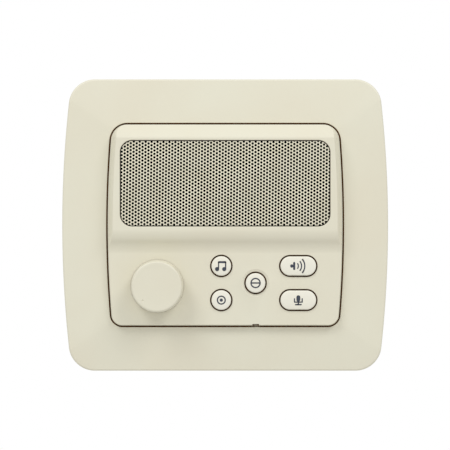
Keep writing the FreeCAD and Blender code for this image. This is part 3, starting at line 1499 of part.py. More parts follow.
def make_potentiometer():
    """Case with its bush, washer, nut and solder pins."""
    x, z = size.knob_x, size.knob_z
    case, bush = size.pot_case / 2, size.bush_thread / 2
    bore = size.shaft_bore / 2 + size.shaft_gap
    inside = case - size.pot_wall
    turned_body("pot_body", [
        (size.board_depth, 0), (size.board_depth, case), (control_back, case),
        (control_back, bush), (bush_front, bush), (bush_front, bore),
        (control_back - size.pot_wall, bore), (control_back - size.pot_wall, inside),
        (size.board_depth + size.pot_wall, inside), (size.board_depth + size.pot_wall, 0),
    ], x, z)
    turned_body("pot_washer", [
        (size.control_depth, bush), (size.control_depth, size.washer_rim / 2),
        (washer_front, size.washer_rim / 2), (washer_front, bush),
    ], x, z)
    nut = new_body("pot_nut", x, washer_front, z)
    outline = new_sketch(nut, "nut_outline")
    reach = size.nut_flats / math.sqrt(3)
    draw_polygon(outline, [
        (reach * math.cos(math.pi / 3 * step), reach * math.sin(math.pi / 3 * step))
        for step in range(6)
    ])
    draw_circle(outline, size.bush_thread)
    pad(nut, outline, size.nut_sheet, "nut_block")
    group("pot_pins", [
        cylinder(
            f"pot_pin_{number}", size.pin_bore, board_back - size.pin_bore, size.board_depth, pin_x, pin_z,
        )
        for number, (pin_x, pin_z) in enumerate(pin_places, start=1)
    ])
    shaft = new_body("pot_shaft", x, 0, z)
    rod = new_sketch(shaft, "shaft_outline", offset=rotor_back)
    draw_circle(rod, size.shaft_bore)
    pad(shaft, rod, shaft_front - rotor_back, "shaft_rod")
    rotor = new_sketch(shaft, "rotor_outline", offset=rotor_back)
    draw_circle(rotor, size.rotor_rim)
    pad(shaft, rotor, size.rotor_sheet, "shaft_rotor")
    flat = new_sketch(shaft, "shaft_flat_outline", offset=shaft_front)
    draw_rectangle(flat, size.shaft_bore * 2, size.shaft_bore, 0, size.shaft_flat + size.shaft_bore / 2)
    pocket(shaft, flat, shaft_front - boss_back, "shaft_flat_cut")


def make_volume_knob():
    """A hollow push-on knob with a D-shaped bore and a pointer dimple."""
    face, base, wall = size.knob_face / 2, size.knob_base / 2, size.knob_wall
    boss, bore = size.knob_boss / 2, size.shaft_bore / 2
    knob = turned_body("volume_knob", [
        (knob_front, 0), (knob_front, face), (knob_back, base), (knob_back, base - wall),
        (knob_ceiling, face - wall), (knob_ceiling, boss), (boss_back, boss), (boss_back, bore),
        (shaft_front, bore), (shaft_front, 0),
    ], size.knob_x, size.knob_z)
    key = new_sketch(knob, "knob_flat_outline", offset=boss_back)
    draw_rectangle(
        key, size.shaft_bore * 0.9, size.shaft_bore / 2 - size.shaft_flat + size.knob_gap,
        0, (size.shaft_bore / 2 + size.shaft_flat + size.knob_gap) / 2,
    )
    pad(knob, key, shaft_front - boss_back + size.knob_gap, "knob_flat")
    round_edges(knob, size.knob_round, lambda edge: lies_at(edge, knob_front), "knob_front_round")
    dimple = new_sketch(knob, "dimple_outline", offset=knob_front)
    reach = size.dimple_offset * math.sqrt(0.5)
    draw_circle(dimple, size.dimple_bore, -reach, -reach)
    pocket(knob, dimple, size.dimple_sink, "dimple_cut")


# ---------------------------------------------------------------- keys

def draw_key(sketch, long, growth):
    """A key's outline: its hole's outline grown by so much all round."""
    grow = Size.of(growth) * 2
    if long:
        draw_pill(sketch, size.pill_length + grow, size.pill_height + grow)
    else:
        draw_circle(sketch, size.round_hole + grow)


def make_key(name, x, z, long):
    """One hollow key cap with its retaining lip and stem, the plunger under it and the switch."""
    cap = new_body(f"{name}_button", x, 0, z)
    face = new_sketch(cap, f"{name}_face", offset=key_lip_back)
    draw_key(face, long, -size.key_gap)
    pad(cap, face, key_front - key_lip_back, f"{name}_block")
    round_edges(cap, size.key_edge, lambda edge: lies_at(edge, key_front), f"{name}_edge")
    lip = new_sketch(cap, f"{name}_lip", offset=key_lip_back)
    draw_key(lip, long, size.key_lip)
    pad(cap, lip, size.key_lip_sheet, f"{name}_lip_sheet")
    hollow = new_sketch(cap, f"{name}_hollow", offset=key_lip_back)
    draw_key(hollow, long, -size.key_gap - size.key_wall)
    depth = key_front - key_lip_back - size.key_wall
    pocket(cap, hollow, depth, f"{name}_hollow_cut", reverse=True)
    stem = new_sketch(cap, f"{name}_stem", offset=plunger_front)
    draw_circle(stem, size.key_stem)
    pad(cap, stem, key_front - plunger_front - size.key_wall / 2, f"{name}_stem_rod")

    plunger_back = switch_front - size.key_travel / 2
    plunger = new_body(f"{name}_plunger", x, plunger_back, z)
    rod = new_sketch(plunger, f"{name}_plunger_outline")
    draw_circle(rod, size.plunger_bore)
    pad(plunger, rod, plunger_front - plunger_back, f"{name}_plunger_rod")

    switch = new_body(f"{name}_switch", x, size.board_depth, z)
    base = new_sketch(switch, f"{name}_switch_outline")
    draw_rectangle(base, size.switch_side, size.switch_side)
    pad(switch, base, size.switch_rise, f"{name}_switch_block")
    round_edges(switch, size.paper, runs_in_depth, f"{name}_switch_corners")
    well = new_sketch(switch, f"{name}_switch_well", offset=size.switch_rise)
    draw_circle(well, size.plunger_bore + size.shaft_gap * 2)
    sink = size.key_travel * 1.5 + size.key_play
    pocket(switch, well, sink, f"{name}_switch_well_cut")


# ---------------------------------------------------------------- build and export

def check_document():
    """Stop before anything is written if an object failed."""
    doc.recompute()
    failed = [thing.Name for thing in doc.Objects
              if "Invalid" in thing.State or "Error" in thing.State]
    if failed:
        raise RuntimeError(f"failed objects: {failed}")


def sub_parts():
    """The labelled top pieces: bodies, groups, leads and the booleans nothing else uses."""
    kinds = ("PartDesign::Body", "Part::Compound", "Part::Feature")
    booleans = ("Part::Cut", "Part::Common", "Part::MultiFuse", "Part::Cylinder")
    return [
        thing for thing in doc.Objects
        if thing.TypeId in kinds or (thing.TypeId in booleans and not thing.InList)
    ]


def export(pieces):
    os.makedirs("parts", exist_ok=True)
    for piece in pieces:
        shape = piece.Shape
        if shape.isNull() or not shape.isValid() or not shape.Solids:
            raise RuntimeError(f"{piece.Label} has no valid solid")
    for piece in pieces:
        piece.Shape.exportStep(f"parts/{piece.Label}.step")
    print(f"{len(pieces)} sub-parts written")


BUILDERS = [
    make_mounting_bracket, make_rear_housing, make_cable_grommet, make_chassis_screws,
    make_trim_frame, make_front_bezel, make_speaker_grille, make_grille_cloth,
    make_speaker_basket, make_speaker_moving_parts, make_speaker_motor, make_speaker_fixings,
    make_speaker_leads, make_main_board, make_board_fixings, make_board_capacitors,
    make_terminal_block, make_chips, make_microphone, make_potentiometer, make_volume_knob,
]

for build in BUILDERS:
    build()
for key_name, key_place in KEYS.items():
    make_key(key_name, *key_place)
check_document()
export(sub_parts())
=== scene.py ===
"""Looks of a wall intercom station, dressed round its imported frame.

X runs to the right, Z up, and the wall is the plane y = 0. "Depth" is the distance in front
of the wall, so a point at depth d has y = -d. Pieces are shaped on the bench in millimetres
and are turned into metres when they are finished.
"""

import json
import logging
import math
from contextlib import contextmanager
from dataclasses import dataclass, replace
from enum import Enum
from typing import Any, Callable, Iterable, Iterator, Sequence

import bmesh
import bpy
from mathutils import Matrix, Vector


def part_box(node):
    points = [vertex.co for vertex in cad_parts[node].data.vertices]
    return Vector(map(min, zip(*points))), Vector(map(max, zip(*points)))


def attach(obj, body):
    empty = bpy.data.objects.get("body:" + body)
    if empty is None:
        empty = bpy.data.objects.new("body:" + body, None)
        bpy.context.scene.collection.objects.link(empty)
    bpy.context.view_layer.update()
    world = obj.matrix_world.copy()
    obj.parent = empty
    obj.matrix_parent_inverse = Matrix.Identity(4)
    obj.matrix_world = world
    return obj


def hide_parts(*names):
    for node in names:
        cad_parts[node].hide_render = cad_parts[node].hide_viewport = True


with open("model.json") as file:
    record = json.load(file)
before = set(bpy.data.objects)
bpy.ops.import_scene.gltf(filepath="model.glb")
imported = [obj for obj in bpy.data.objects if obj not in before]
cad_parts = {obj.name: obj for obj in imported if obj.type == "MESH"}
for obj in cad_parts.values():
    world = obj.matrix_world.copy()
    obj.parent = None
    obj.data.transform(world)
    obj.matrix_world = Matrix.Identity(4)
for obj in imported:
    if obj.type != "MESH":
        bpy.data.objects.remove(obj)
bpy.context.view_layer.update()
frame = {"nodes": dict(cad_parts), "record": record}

MM = 0.001
FRONT = Vector((0.0, -1.0, 0.0))
# A normal's share towards the front: above the first its face looks to the front, above the
# second it is flat on, and below the third it is a wall.
LOOKS_FRONT, FLAT_ON, IS_WALL = 0.9, 0.99, 0.2
# Points this close, in millimetres, lie at the same depth or on the same line.
NEAR = 0.01
# Points this close, in millimetres, are one point.
SAME_POINT = 0.001
# How far a tool runs past the surface that it cuts through.
OVERRUN = 1.0
log = logging.getLogger("station")

Piece = bpy.types.Object
Corner = tuple[float, float]


# ---------------------------------------------------------------- the bench

class Pick(Enum):
    """What an edit-mode selection is made of."""

    VERTICES = "VERT"
    EDGES = "EDGE"
    FACES = "FACE"


class Join(Enum):
    """How one closed piece is combined with another."""

    CUT = "DIFFERENCE"
    ADD = "UNION"
    KEEP = "INTERSECT"


def clear_bench() -> None:
    """Leave edit mode and deselect everything."""
    if bpy.context.mode != "OBJECT":
        bpy.ops.object.mode_set(mode="OBJECT")
    bpy.ops.object.select_all(action="DESELECT")


def take(*pieces: Piece) -> None:
    """Select only these pieces and make the first one active.

    Args:
        pieces: what is selected.
    """
    clear_bench()
    for piece in pieces:
        piece.select_set(True)
    bpy.context.view_layer.objects.active = pieces[0]


def label(name: str) -> Piece:
    """Name the piece that an operator has just added, and return it.

    Args:
        name: its new name.

    Returns:
        The piece.
    """
    piece = bpy.context.active_object
    piece.name = name
    piece.data.name = name
    return piece


@contextmanager
def editing(piece: Piece) -> Iterator[None]:
    """Work on a piece in edit mode, with nothing selected at first.

    Args:
        piece: the piece that is edited.

    Returns:
        A context that leaves edit mode when it closes.
    """
    take(piece)
    bpy.ops.object.mode_set(mode="EDIT")
    bpy.ops.mesh.select_all(action="DESELECT")
    yield
    bpy.ops.object.mode_set(mode="OBJECT")


def pick(piece: Piece, what: Pick, test: Callable[[Any], bool]) -> int:
    """Select the vertices, edges or faces of the edited piece that pass a test.

    Args:
        piece: the piece that is in edit mode.
        what: which kind of element the test is given.
        test: says whether an element is selected.

    Returns:
        How many elements are selected.
    """
    bpy.ops.mesh.select_mode(type=what.value)
    bpy.ops.mesh.select_all(action="DESELECT")
    mesh = bmesh.from_edit_mesh(piece.data)
    mesh.normal_update()
    elements = {Pick.VERTICES: mesh.verts, Pick.EDGES: mesh.edges, Pick.FACES: mesh.faces}[what]
    chosen = [element for element in elements if test(element)]
    for element in chosen:
        element.select_set(True)
    mesh.select_flush_mode()
    bmesh.update_edit_mesh(piece.data)
    return len(chosen)


def merge(distance: float) -> None:
    """Make one of the edited piece's points that are this close."""
    bpy.ops.mesh.select_all(action="SELECT")
    bpy.ops.mesh.remove_doubles(threshold=distance)


def middle(edge: bmesh.types.BMEdge) -> Vector:
    """The middle of an edge."""
    return (edge.verts[0].co + edge.verts[1].co) / 2


def facings(edge: bmesh.types.BMEdge) -> list[float]:
    """How far each face beside an edge looks to the front, the least first."""
    return sorted(face.normal.dot(FRONT) for face in edge.link_faces)


def meets_wall(edge: bmesh.types.BMEdge) -> bool:
    """Whether an edge joins a face that looks to the front to a wall."""
    facing = facings(edge)
    return len(facing) == 2 and facing[0] < IS_WALL and facing[1] > LOOKS_FRONT


def edge_at(depth: float) -> Callable[[bmesh.types.BMEdge], bool]:
    """A test for the edges that lie at this depth."""
    return lambda edge: all(abs(vertex.co.y + depth) < NEAR for vertex in edge.verts)


def front_at(depth: float) -> Callable[[bmesh.types.BMFace], bool]:
    """A test for the faces that look straight to the front at this depth.

    Args:
        depth: where the faces lie.

    Returns:
        The test, for pick().
    """
    return lambda face: (
        face.normal.dot(FRONT) > FLAT_ON and abs(face.calc_center_median().y + depth) < NEAR
    )


def slide(x: float = 0.0, depth: float = 0.0, z: float = 0.0) -> dict[str, tuple[float, ...]]:
    """The settings that make an extrude operator move what it extrudes."""
    return {"value": (x, -depth, z)}


def change(piece: Piece, kind: str, **settings: Any) -> None:
    """Add a modifier to a piece and apply it at once.

    Args:
        piece: the piece that changes.
        kind: the modifier's type name.
        settings: the modifier's own properties.
    """
    take(piece)
    bpy.ops.object.modifier_add(type=kind)
    modifier = piece.modifiers[-1]
    for name, value in settings.items():
        setattr(modifier, name, value)
    bpy.ops.object.modifier_apply(modifier=modifier.name)


def combine(piece: Piece, how: Join, *tools: Piece) -> Piece:
    """Cut tools out of a piece, add them to it, or keep what they share with it.

    Args:
        piece: the piece that changes.
        how: whether the tools cut, add or keep.
        tools: the closed pieces, which are used up.

    Returns:
        The changed piece.
    """
    for tool in tools:
        change(piece, "BOOLEAN", operation=how.value, object=tool, solver="EXACT")
        bpy.data.objects.remove(tool)
    return piece


def draw(name: str, corners: Sequence[Vector]) -> Piece:
    """A flat face: a disc with as many corners as asked, each moved to its place.

    Args:
        name: the new piece's name.
        corners: the face's corners, in order.

    Returns:
        The new piece.
    """
    clear_bench()
    bpy.ops.mesh.primitive_circle_add(vertices=len(corners), fill_type="NGON")
    piece = label(name)
    for vertex, corner in zip(piece.data.vertices, corners):
        vertex.co = corner
    return piece


def round_corners(piece: Piece, offset: float, steps: int, test: Callable[[Any], bool]) -> None:
    """Round the chosen corners of a flat face.

    Args:
        piece: the flat piece.
        offset: how far from its corner each round starts.
        steps: how many straight runs make a round.
        test: says which corners are rounded.
    """
    with editing(piece):
        pick(piece, Pick.VERTICES, test)
        bpy.ops.mesh.bevel(
            offset=offset, segments=steps, profile=0.5, affect="VERTICES", clamp_overlap=False,
        )
        merge(SAME_POINT * 2)


def push(piece: Piece, length: float, across: bool = False) -> Piece:
    """Extrude a flat face into a solid.

    Args:
        piece: the flat piece.
        length: how thick the solid is.
        across: whether it grows to the right and not to the front.

    Returns:
        The same piece, now solid.
    """
    with editing(piece):
        bpy.ops.mesh.select_all(action="SELECT")
        move = slide(x=length) if across else slide(depth=length)
        bpy.ops.mesh.extrude_region_move(TRANSFORM_OT_translate=move)
        bpy.ops.mesh.select_all(action="SELECT")
        bpy.ops.mesh.normals_make_consistent(inside=False)
    return piece


def face_forward(piece: Piece) -> None:
    """Turn the faces of an open sheet round if they look to the back.

    Args:
        piece: the open sheet.
    """
    if sum(face.normal.y * face.area for face in piece.data.polygons) > 0:
        with editing(piece):
            bpy.ops.mesh.select_all(action="SELECT")
            bpy.ops.mesh.flip_normals()


def rounded_plate(
    name: str, width: float, height: float, corner: float,
    depth: float, x: float = 0.0, z: float = 0.0, steps: int = 10,
) -> Piece:
    """A flat rounded rectangle.

    Args:
        name: the new piece's name.
        width: its size along X.
        height: its size along Z.
        corner: the radius of its corners.
        depth: the depth at which it lies.
        x: its centre along X.
        z: its centre along Z.
        steps: how many straight runs make a corner.

    Returns:
        The new piece.
    """
    half_x, half_z = width / 2, height / 2
    signs = ((1, -1), (1, 1), (-1, 1), (-1, -1))
    piece = draw(name, [Vector((x + sx * half_x, -depth, z + sz * half_z)) for sx, sz in signs])
    round_corners(piece, corner, steps, lambda vertex: True)
    return piece


def rounded_bar(
    name: str, width: float, height: float, corner: float,
    back: float, front: float, x: float = 0.0, z: float = 0.0, steps: int = 10,
) -> Piece:
    """A solid rounded rectangle between two depths."""
    return push(rounded_plate(name, width, height, corner, back, x, z, steps), front - back)


def round_bar(
    name: str, diameter: float, back: float, front: float, x: float, z: float, sides: int = 48,
) -> Piece:
    """A round bar that runs along the depth.

    Args:
        name: the new piece's name.
        diameter: how thick it is.
        back: the depth of its back.
        front: the depth of its front.
        x: its axis along X.
        z: its axis along Z.
        sides: how many flats make it round.

    Returns:
        The new piece.
    """
    clear_bench()
    bpy.ops.mesh.primitive_cylinder_add(
        vertices=sides, radius=diameter / 2, depth=front - back,
        location=(x, -(back + front) / 2, z), rotation=(math.pi / 2, 0.0, 0.0),
    )
    bpy.ops.object.transform_apply(location=True, rotation=True, scale=True)
    return label(name)


def bevel_edges(
    piece: Piece, width: float, steps: int, test: Callable[[Any], bool], clamp: bool = True,
) -> int:
    """Round the edges of a piece that pass a test.

    Args:
        piece: the piece that changes.
        width: how wide the round is.
        steps: how many faces make the round.
        test: says which edges are rounded.
        clamp: whether rounds stop where they would meet.

    Returns:
        How many edges passed.
    """
    with editing(piece):
        count = pick(piece, Pick.EDGES, test)
        if count:
            bpy.ops.mesh.bevel(
                offset=width, segments=steps, profile=0.5, affect="EDGES", clamp_overlap=clamp,
            )
    return count


def complete(piece: Piece, smooth_angle: float = 30.0) -> Piece:
    """Clean a piece, smooth its shading and turn its millimetres into metres.

    Args:
        piece: the shaped piece.
        smooth_angle: edges that turn by less than this many degrees are shaded smooth.

    Returns:
        The finished piece.
    """
    with editing(piece):
        merge(SAME_POINT / 2)
        bpy.ops.mesh.dissolve_degenerate(threshold=SAME_POINT / 2)
        bpy.ops.mesh.select_all(action="SELECT")
        bpy.ops.mesh.normals_make_consistent(inside=False)
    take(piece)
    bpy.ops.object.shade_smooth_by_angle(angle=math.radians(smooth_angle))
    change(piece, "WEIGHTED_NORMAL", keep_sharp=True, weight=50)
    piece.scale = (MM, MM, MM)
    take(piece)
    bpy.ops.object.transform_apply(location=False, rotation=False, scale=True)
    log.info("shaped %s: %d faces", piece.name, len(piece.data.polygons))
    return piece


# ---------------------------------------------------------------- finishes

def linear(hex_code: str) -> tuple[float, float, float, float]:
    """Turn an sRGB hex colour into the linear colour that shaders use.

    Args:
        hex_code: the colour, as a hash and six digits.

    Returns:
        Red, green, blue and an alpha of 1.
    """
    channels = [int(hex_code[place:place + 2], 16) / 255 for place in (1, 3, 5)]
    red, green, blue = (
        value / 12.92 if value <= 0.04045 else ((value + 0.055) / 1.055) ** 2.4
        for value in channels
    )
    return red, green, blue, 1.0


def per_metre(size_mm: float) -> float:
    """The texture scale at which a pattern repeats every so many millimetres."""
    return 1.0 / (size_mm * MM)


def add_node(
    tree: bpy.types.NodeTree, kind: str, inputs: dict[str | int, Any] | None = None, **settings: Any,
) -> bpy.types.Node:
    """Add a node with its settings and links.

    Args:
        tree: the node tree that the node joins.
        kind: the node's type name.
        inputs: for each input, by name or place, a value or the socket that feeds it.
        settings: the node's own properties.

    Returns:
        The new node.
    """
    node = tree.nodes.new(kind)
    for name, value in settings.items():
        setattr(node, name, value)
    for name, value in (inputs or {}).items():
        if isinstance(value, bpy.types.NodeSocket):
            tree.links.new(value, node.inputs[name])
        else:
            node.inputs[name].default_value = value
    return node


# Where a colour mix has its factor, its two colours and its result.
MIX_FACTOR, MIX_FIRST, MIX_SECOND, MIX_COLOUR = 0, 6, 7, 2
# The noise levels at which a clouded surface is all its first colour and all its second.
CLOUD_FIRST, CLOUD_SECOND = 0.35, 0.65
# How near a wall must be for the painted shade in a joint to fall.
JOINT_REACH_MM = 2.5
# The wave texture runs through this many radians in each unit.
WAVE_RADIANS = 20.0
# The height of the brick texture's rows, in its own units.
BRICK_ROW = 0.25


@dataclass(frozen=True)
class Finish:
    """A named finish. Each kind of finish says in shade() how its surface is built up."""

    name: str
    slot: str
    colour: str

    def shade(self, tree: bpy.types.NodeTree, shader: bpy.types.Node) -> None:
        """Set the shader's values and add the nodes that feed it.

        Args:
            tree: the material's node tree.
            shader: the material's main shader.
        """
        raise NotImplementedError

    def material(self) -> bpy.types.Material:
        """The finish as a material, made once and shared after that.

        Returns:
            The material.
        """
        made = bpy.data.materials.get(self.name)
        if made is None:
            made = bpy.data.materials.new(self.name)
            made.use_nodes = True
            shader = made.node_tree.nodes["Principled BSDF"]
            shader.inputs["Base Color"].default_value = linear(self.colour)
            made.diffuse_color = linear(self.colour)
            self.shade(made.node_tree, shader)
        return made

    def clouded(
        self, tree: bpy.types.NodeTree, second: str, size_mm: float, stretch: float = 1.0,
    ) -> tuple[bpy.types.NodeSocket, bpy.types.NodeSocket]:
        """Two colours that drift into each other.

        Args:
            tree: the material's node tree.
            second: the other colour, in hex.
            size_mm: how large the clouds are.
            stretch: how many times longer the clouds are along X.

        Returns:
            The colour, and the level between 0 and 1 that it follows.
        """
        place = add_node(tree, "ShaderNodeTexCoord")
        drawn = add_node(
            tree, "ShaderNodeMapping",
            {"Vector": place.outputs["Object"], "Scale": (1.0 / stretch, 1.0, 1.0)},
        )
        noise = add_node(
            tree, "ShaderNodeTexNoise",
            {"Vector": drawn.outputs["Vector"], "Scale": per_metre(size_mm), "Detail": 3.0},
        )
        level = add_node(
            tree, "ShaderNodeMapRange",
            {"Value": noise.outputs["Fac"], "From Min": CLOUD_FIRST, "From Max": CLOUD_SECOND},
        )
        colour = add_node(
            tree, "ShaderNodeMix",
            {MIX_FACTOR: level.outputs["Result"], MIX_FIRST: linear(self.colour),
             MIX_SECOND: linear(second)},
            data_type="RGBA",
        )
        return colour.outputs[MIX_COLOUR], level.outputs["Result"]

    def paint_joint_shade(
        self, tree: bpy.types.NodeTree, colour: bpy.types.NodeSocket, shade_colour: str,
        dark: float, unshaded: float,
    ) -> tuple[bpy.types.NodeSocket, bpy.types.NodeSocket]:
        """Painted shade in narrow joints: the colour darkens towards a brown where walls close in.

        Args:
            tree: the material's node tree.
            colour: the colour without shade.
            shade_colour: the painted shade's colour, in hex.
            dark: the openness at which the painted shade is full.
            unshaded: the openness at which there is no painted shade.

        Returns:
            The colour with its painted shade, and how far from shade it is, between 0 and 1.
        """
        openness = add_node(
            tree, "ShaderNodeAmbientOcclusion", {"Distance": JOINT_REACH_MM * MM}, samples=8,
        )
        level = add_node(
            tree, "ShaderNodeMapRange",
            {"Value": openness.outputs["AO"], "From Min": dark, "From Max": unshaded},
            interpolation_type="SMOOTHSTEP",
        )
        mixed = add_node(
            tree, "ShaderNodeMix",
            {MIX_FACTOR: level.outputs["Result"], MIX_FIRST: linear(shade_colour), MIX_SECOND: colour},
            data_type="RGBA",
        )
        return mixed.outputs[MIX_COLOUR], level.outputs["Result"]

    def dulled(
        self, tree: bpy.types.NodeTree, shader: bpy.types.Node, gloss: bpy.types.NodeSocket | float,
        unshaded: bpy.types.NodeSocket,
    ) -> None:
        """Give the shader its roughness, which is full where the painted joint shade lies."""
        roughness = add_node(tree, "ShaderNodeMix", {0: unshaded, 2: 1.0, 3: gloss})
        tree.links.new(roughness.outputs[0], shader.inputs["Roughness"])

    def grained(
        self, tree: bpy.types.NodeTree, shader: bpy.types.Node, size_mm: float, height_mm: float,
        detail: float = 1.0,
    ) -> None:
        """Give the shader a bump of soft grains.

        Args:
            tree: the material's node tree.
            shader: the material's main shader.
            size_mm: how wide a grain is.
            height_mm: how high a grain stands.
            detail: how many finer layers lie on the grain.
        """
        place = add_node(tree, "ShaderNodeTexCoord")
        grain = add_node(
            tree, "ShaderNodeTexNoise",
            {"Vector": place.outputs["Object"], "Scale": per_metre(size_mm), "Detail": detail},
        )
        bump = add_node(
            tree, "ShaderNodeBump",
            {"Height": grain.outputs["Fac"], "Strength": 1.0, "Distance": height_mm * MM},
        )
        tree.links.new(bump.outputs["Normal"], shader.inputs["Normal"])


@dataclass(frozen=True)
class MouldedPlastic(Finish):
    """Injection-moulded ABS: an even colour, a satin sheen and a fine spark-eroded grain."""

    aged: str
    drift_mm: float = 60.0
    roughness: float = 0.42
    gloss_drift: float = 0.03
    ior: float = 1.53
    # Real spark-eroded grain is about 0.2 mm across, too fine to show, so it is drawn coarser.
    grain_mm: float = 0.8
    grain_height_mm: float = 0.006
    # Painted shade in narrow joints: its brown colour, and the openness at which it is full and at which
    # it ends.
    shade_colour: str = "#7c4c12"
    shade_levels: tuple[float, float] = (0.34, 0.55)

    def shade(self, tree: bpy.types.NodeTree, shader: bpy.types.Node) -> None:
        """The aged tint drifts over several centimetres, as sunlight leaves it.

        Args:
            tree: the material's node tree.
            shader: the material's main shader.
        """
        colour, level = self.clouded(tree, self.aged, self.drift_mm)
        # Painted shade: the colour darkens towards a brown where walls close in round narrow joints.
        colour, unshaded = self.paint_joint_shade(tree, colour, self.shade_colour, *self.shade_levels)
        tree.links.new(colour, shader.inputs["Base Color"])
        gloss = add_node(
            tree, "ShaderNodeMapRange",
            {"Value": level, "To Min": self.roughness - self.gloss_drift,
             "To Max": self.roughness + self.gloss_drift},
        )
        self.dulled(tree, shader, gloss.outputs["Result"], unshaded)
        shader.inputs["IOR"].default_value = self.ior
        self.grained(tree, shader, self.grain_mm, self.grain_height_mm)


@dataclass(frozen=True)
class PaintedSheet(Finish):
    """Baked enamel on steel: smooth, with a slight orange peel."""

    worn: str
    cloud_mm: float = 9.0
    roughness: float = 0.35
    ior: float = 1.5
    peel_mm: float = 1.1
    peel_height_mm: float = 0.004
    # Painted shade in narrow joints, set weak so that the sheet's border darkens and its hole walls stay
    # light.
    shade_colour: str = "#6b4612"
    shade_levels: tuple[float, float] = (0.08, 0.3)

    def shade(self, tree: bpy.types.NodeTree, shader: bpy.types.Node) -> None:
        """The peel of the sprayed coat is about a millimetre across.

        Args:
            tree: the material's node tree.
            shader: the material's main shader.
        """
        colour, _ = self.clouded(tree, self.worn, self.cloud_mm)
        # Painted shade: the colour darkens towards a brown in the narrowest joints.
        colour, unshaded = self.paint_joint_shade(tree, colour, self.shade_colour, *self.shade_levels)
        tree.links.new(colour, shader.inputs["Base Color"])
        self.dulled(tree, shader, self.roughness, unshaded)
        shader.inputs["IOR"].default_value = self.ior
        self.grained(tree, shader, self.peel_mm, self.peel_height_mm)


@dataclass(frozen=True)
class Metal(Finish):
    """Bare or plated metal, told apart by its two tones and its roughness."""

    dull: str
    roughness: float
    dulling: float = 0.18
    cloud_mm: float = 4.0
    stretch: float = 1.0
    # Rolling and turning leave lines of a few hundredths of a millimetre, drawn coarser to show.
    grain_mm: float = 0.5
    grain_height_mm: float = 0.004

    def shade(self, tree: bpy.types.NodeTree, shader: bpy.types.Node) -> None:
        """Dull patches are also rougher, as handled metal is.

        Args:
            tree: the material's node tree.
            shader: the material's main shader.
        """
        shader.inputs["Metallic"].default_value = 1.0
        colour, level = self.clouded(tree, self.dull, self.cloud_mm, stretch=self.stretch)
        tree.links.new(colour, shader.inputs["Base Color"])
        gloss = add_node(
            tree, "ShaderNodeMapRange",
            {"Value": level, "To Min": self.roughness, "To Max": self.roughness + self.dulling},
        )
        tree.links.new(gloss.outputs["Result"], shader.inputs["Roughness"])
        self.grained(tree, shader, self.grain_mm, self.grain_height_mm)


@dataclass(frozen=True)
class Matt(Finish):
    """Rubber, paper, foam, ferrite and fired parts: no shine, with a visible grain."""

    second: str
    roughness: float = 0.85
    cloud_mm: float = 3.0
    # Fibres and pores are about a tenth of a millimetre wide, drawn coarser to show.
    grain_mm: float = 0.6
    grain_height_mm: float = 0.03
    layers: float = 4.0

    def shade(self, tree: bpy.types.NodeTree, shader: bpy.types.Node) -> None:
        """Fibres, pores or bloom show as a mottle and a coarse bump.

        Args:
            tree: the material's node tree.
            shader: the material's main shader.
        """
        colour, _ = self.clouded(tree, self.second, self.cloud_mm)
        tree.links.new(colour, shader.inputs["Base Color"])
        shader.inputs["Roughness"].default_value = self.roughness
        self.grained(tree, shader, self.grain_mm, self.grain_height_mm, self.layers)


@dataclass(frozen=True)
class WovenCloth(Finish):
    """Thin plain-weave cloth, dyed: threads cross over and under at a fixed spacing."""

    thread: str
    # Real threads lie about 0.3 mm apart, too fine to show in the holes, so they are drawn coarser.
    spacing_mm: float = 2.76
    thread_height_mm: float = 0.1
    roughness: float = 0.95
    shine: float = 0.1

    def shade(self, tree: bpy.types.NodeTree, shader: bpy.types.Node) -> None:
        """Two sets of bands, one for each direction of thread, multiply into the weave.

        Args:
            tree: the material's node tree.
            shader: the material's main shader.
        """
        place = add_node(tree, "ShaderNodeTexCoord")
        scale = per_metre(self.spacing_mm) * math.tau / WAVE_RADIANS
        bands = [
            add_node(
                tree, "ShaderNodeTexWave",
                {"Vector": place.outputs["Object"], "Scale": scale}, bands_direction=direction,
            )
            for direction in ("X", "Z")
        ]
        weave = add_node(
            tree, "ShaderNodeMath",
            {0: bands[0].outputs["Fac"], 1: bands[1].outputs["Fac"]}, operation="MULTIPLY",
        )
        colour = add_node(
            tree, "ShaderNodeMix",
            {MIX_FACTOR: weave.outputs["Value"], MIX_FIRST: linear(self.colour),
             MIX_SECOND: linear(self.thread)},
            data_type="RGBA",
        )
        tree.links.new(colour.outputs[MIX_COLOUR], shader.inputs["Base Color"])
        bump = add_node(
            tree, "ShaderNodeBump",
            {"Height": weave.outputs["Value"], "Distance": self.thread_height_mm * MM},
        )
        tree.links.new(bump.outputs["Normal"], shader.inputs["Normal"])
        shader.inputs["Roughness"].default_value = self.roughness
        shader.inputs["Specular IOR Level"].default_value = self.shine


@dataclass(frozen=True)
class Laminate(Finish):
    """Solder-masked glass laminate: green lacquer over copper tracks that show through."""

    track: str
    track_mm: float = 2.6
    track_line: float = 0.02
    track_blur: float = 0.1
    roughness: float = 0.3
    # The glass weave under the lacquer, drawn a little coarser than it is.
    weave_mm: float = 0.7
    weave_height_mm: float = 0.01

    def shade(self, tree: bpy.types.NodeTree, shader: bpy.types.Node) -> None:
        """Tracks are the lines of a squared pattern, a little lighter than the lacquer.

        Args:
            tree: the material's node tree.
            shader: the material's main shader.
        """
        place = add_node(tree, "ShaderNodeTexCoord")
        cells = add_node(
            tree, "ShaderNodeTexBrick",
            {"Vector": place.outputs["Object"], "Scale": per_metre(self.track_mm) * BRICK_ROW,
             "Color1": linear(self.colour), "Color2": linear(self.colour),
             "Mortar": linear(self.track), "Mortar Size": self.track_line,
             "Mortar Smooth": self.track_blur},
        )
        tree.links.new(cells.outputs["Color"], shader.inputs["Base Color"])
        shader.inputs["Roughness"].default_value = self.roughness
        self.grained(tree, shader, self.weave_mm, self.weave_height_mm)


IVORY = "#e3e0cd"
IVORY_AGED = "#e1dcc8"

